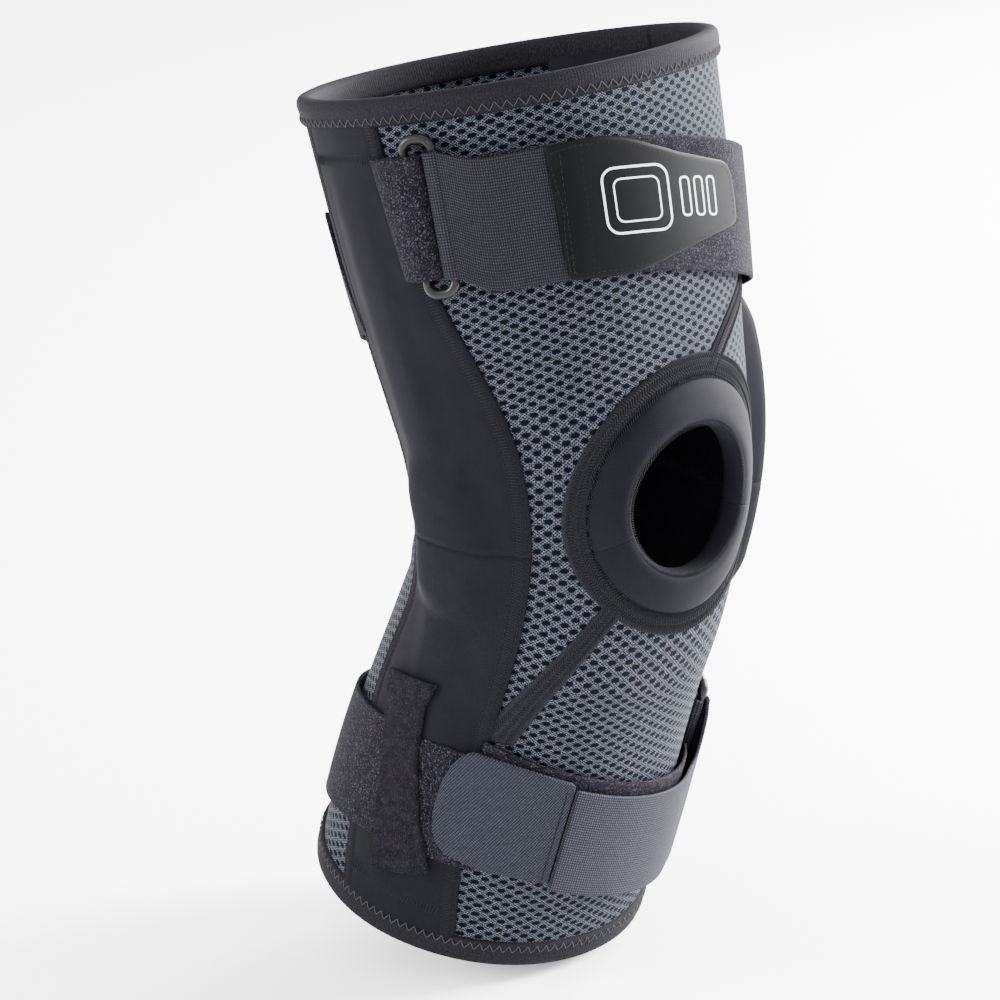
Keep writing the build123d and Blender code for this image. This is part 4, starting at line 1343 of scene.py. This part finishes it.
LOWER_TAB = [(203, 21.5), (216, 23.4), (226, 24.0), (240, 24.0), (240, -19.5), (228, -20.6), (216, -22.4),
             (204, -22.2), (199.5, -18), (197, -8), (196.6, 5), (199.0, 15.5)]
LOWER_SEAMS = (("lower_seam_stitches", 240.6, 6.1, 1.4, 0.22),
               ("lower_seam_stitches_b", 237.4, 5.7, 1.8, 0.18))


def lower_closure():
    """Lower elastic, its hook tab and the two rows of stitches that join them."""
    pull_part("lower_elastic_band", "lower", FRONT_BAND, 322, 5.2, LOWER_W - 1.5, 1.5, LILAC_ELASTIC,
              "elastic_webbing", "lower_elastic_strap", 240.5)
    flat_patch("lower_hook_pad", LOWER_TAB, FRONT_BAND, 4.7, 1.7, HOOK, "lower_closure", "hook_tape",
               "lower_hook_tab", step=1.6, curl=lambda phi, across: 1.0 * ramp(phi, 206, 198))
    for name, place, lift, pitch, radius in LOWER_SEAMS:
        seam = [(place, w) for w in np.linspace(-20, 22, 20)]
        band_stitches(name, seam, FRONT_BAND, lift, DARK_THREAD, "lower_closure",
                      pitch, radius, 0.8)


def lower_strap():
    """Wide loop strap round the back of the calf, from behind the medial ring to the lateral side."""
    phi = span(-26, 215)
    lift = np.full(len(phi), 2.4)
    ribbon("lower_loop_band", phi, lift, LOWER_W, 1.7, LOOP_BAND, LOOP_CLOTH, "shank", "loop_fabric",
           "lower_loop_strap")


def lower_front_loop():
    """Loop-fabric band across the front, past the loop strap's own end, which shows as a dark line above the
    elastic.
    """
    ribbon("lower_loop_front", span(206, 318), 2.2, LOWER_W, 1.5, FRONT_BAND, LOOP_CLOTH, "shank",
           "loop_fabric", "lower_loop_strap", centre=3.6)


def keeper(name, outline, body, node, lift):
    """Bow-tie patch sewn to the side: outline as side-view (y, z) places."""
    lateral = name.startswith("lower")
    places = np.array([to_sleeve(float(y), float(z)) for y, z in outline])
    depth = np.where(places[:, 1] < 0, spline(places[:, 0], STATION, FRONT_DEPTH),
                     spline(places[:, 0], STATION, BACK_DEPTH))
    angle = np.degrees(np.arcsin(np.clip(places[:, 1] / depth, -0.95, 0.95)))
    phi = 180 - angle if lateral else angle
    order_s = np.linspace(places[:, 0].min() + 0.05, places[:, 0].max() - 0.05, 60)
    low, high = [], []
    for level in order_s:
        hits = []
        for k in range(len(phi)):
            s0, s1 = places[k - 1, 0], places[k, 0]
            if (s0 - level) * (s1 - level) <= 0 and s0 != s1:
                hits.append(phi[k - 1] + (phi[k] - phi[k - 1]) * (level - s0) / (s1 - s0))
        low.append(min(hits))
        high.append(max(hits))
    low, high = np.array(low), np.array(high)
    share = np.concatenate([[0, 0.03, 0.09], np.linspace(0.2, 0.8, 9), [0.91, 0.97, 1]])
    turn = low[:, None] + (high - low)[:, None] * share
    s = np.broadcast_to(order_s[:, None], turn.shape)
    width = (high - low)[:, None] * 1.1
    ends = np.minimum(order_s - order_s[0], order_s[-1] - order_s)[:, None]
    edge = np.minimum(np.minimum(share, 1 - share) * width, ends + 0.2)
    top = lift + 1.3 * (0.3 + 0.7 * rounded(edge, 1.0))
    piece = shell(name, lifted(s, turn, top), lifted(s, turn, np.full(turn.shape, lift - 0.2)), KEEPER_CLOTH)
    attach(piece, body)
    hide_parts(node)


LOWER_KEEPER = [(33, -57), (8, -57), (14, -68), (17, -84), (17, -112), (15, -133), (38, -135), (34, -88)]
UPPER_KEEPER = [(8, 114), (36, 114), (32, 87), (30, 46), (6, 46), (12, 87)]


# ---- hardware that shows only when the covers are hidden -------------------------------------
def finish_hardware():
    for name, node in frame["nodes"].items():
        if name.endswith("_arm"):
            material = ALUMINIUM
        elif name.endswith(("_plate", "_rivets", "_pin")):
            material = STEEL
        elif name.endswith("_washers"):
            material = NYLON
        else:
            continue
        node.data.materials.clear()
        node.data.materials.append(material)


def build():
    for half, low, high in HALVES:
        front_mesh(half, low, high)
        back_mesh(half, low, high)
        for side in ("lateral", "medial"):
            cover(side, half, low, high)
            lining(side, half, low, high)
            panel_seams(side, half, low, high)
    patella_ring()
    seam_tape()
    seam_branches()
    binding("top_tape", HALF_LENGTH, 1, "thigh", "top_binding")
    binding("bottom_tape", -HALF_LENGTH, -1, "shank", "bottom_binding")
    zigzag("top_zigzag", HALF_LENGTH, 1, "thigh", GREY_THREAD)
    zigzag("bottom_zigzag", -HALF_LENGTH, -1, "shank", GREY_THREAD)
    ring("upper", 56)
    ring("lower", 53)
    upper_strap()
    chafe("upper_chafe", "upper", UPPER_W - 2.5, 15.5, 9.5, "thigh", "upper_ring_chafe")
    upper_closure()
    lower_strap()
    lower_front_loop()
    chafe("lower_chafe", "lower", LOWER_W - 2.0, 12.0, 12.0, "shank", "lower_ring_chafe")
    lower_closure()
    keeper("lower_keeper", LOWER_KEEPER, "shank", "lower_strap_keeper", 3.6)
    keeper("upper_keeper", UPPER_KEEPER, "thigh", "upper_strap_keeper", 1.2)
    finish_hardware()


camera()
studio()
build()
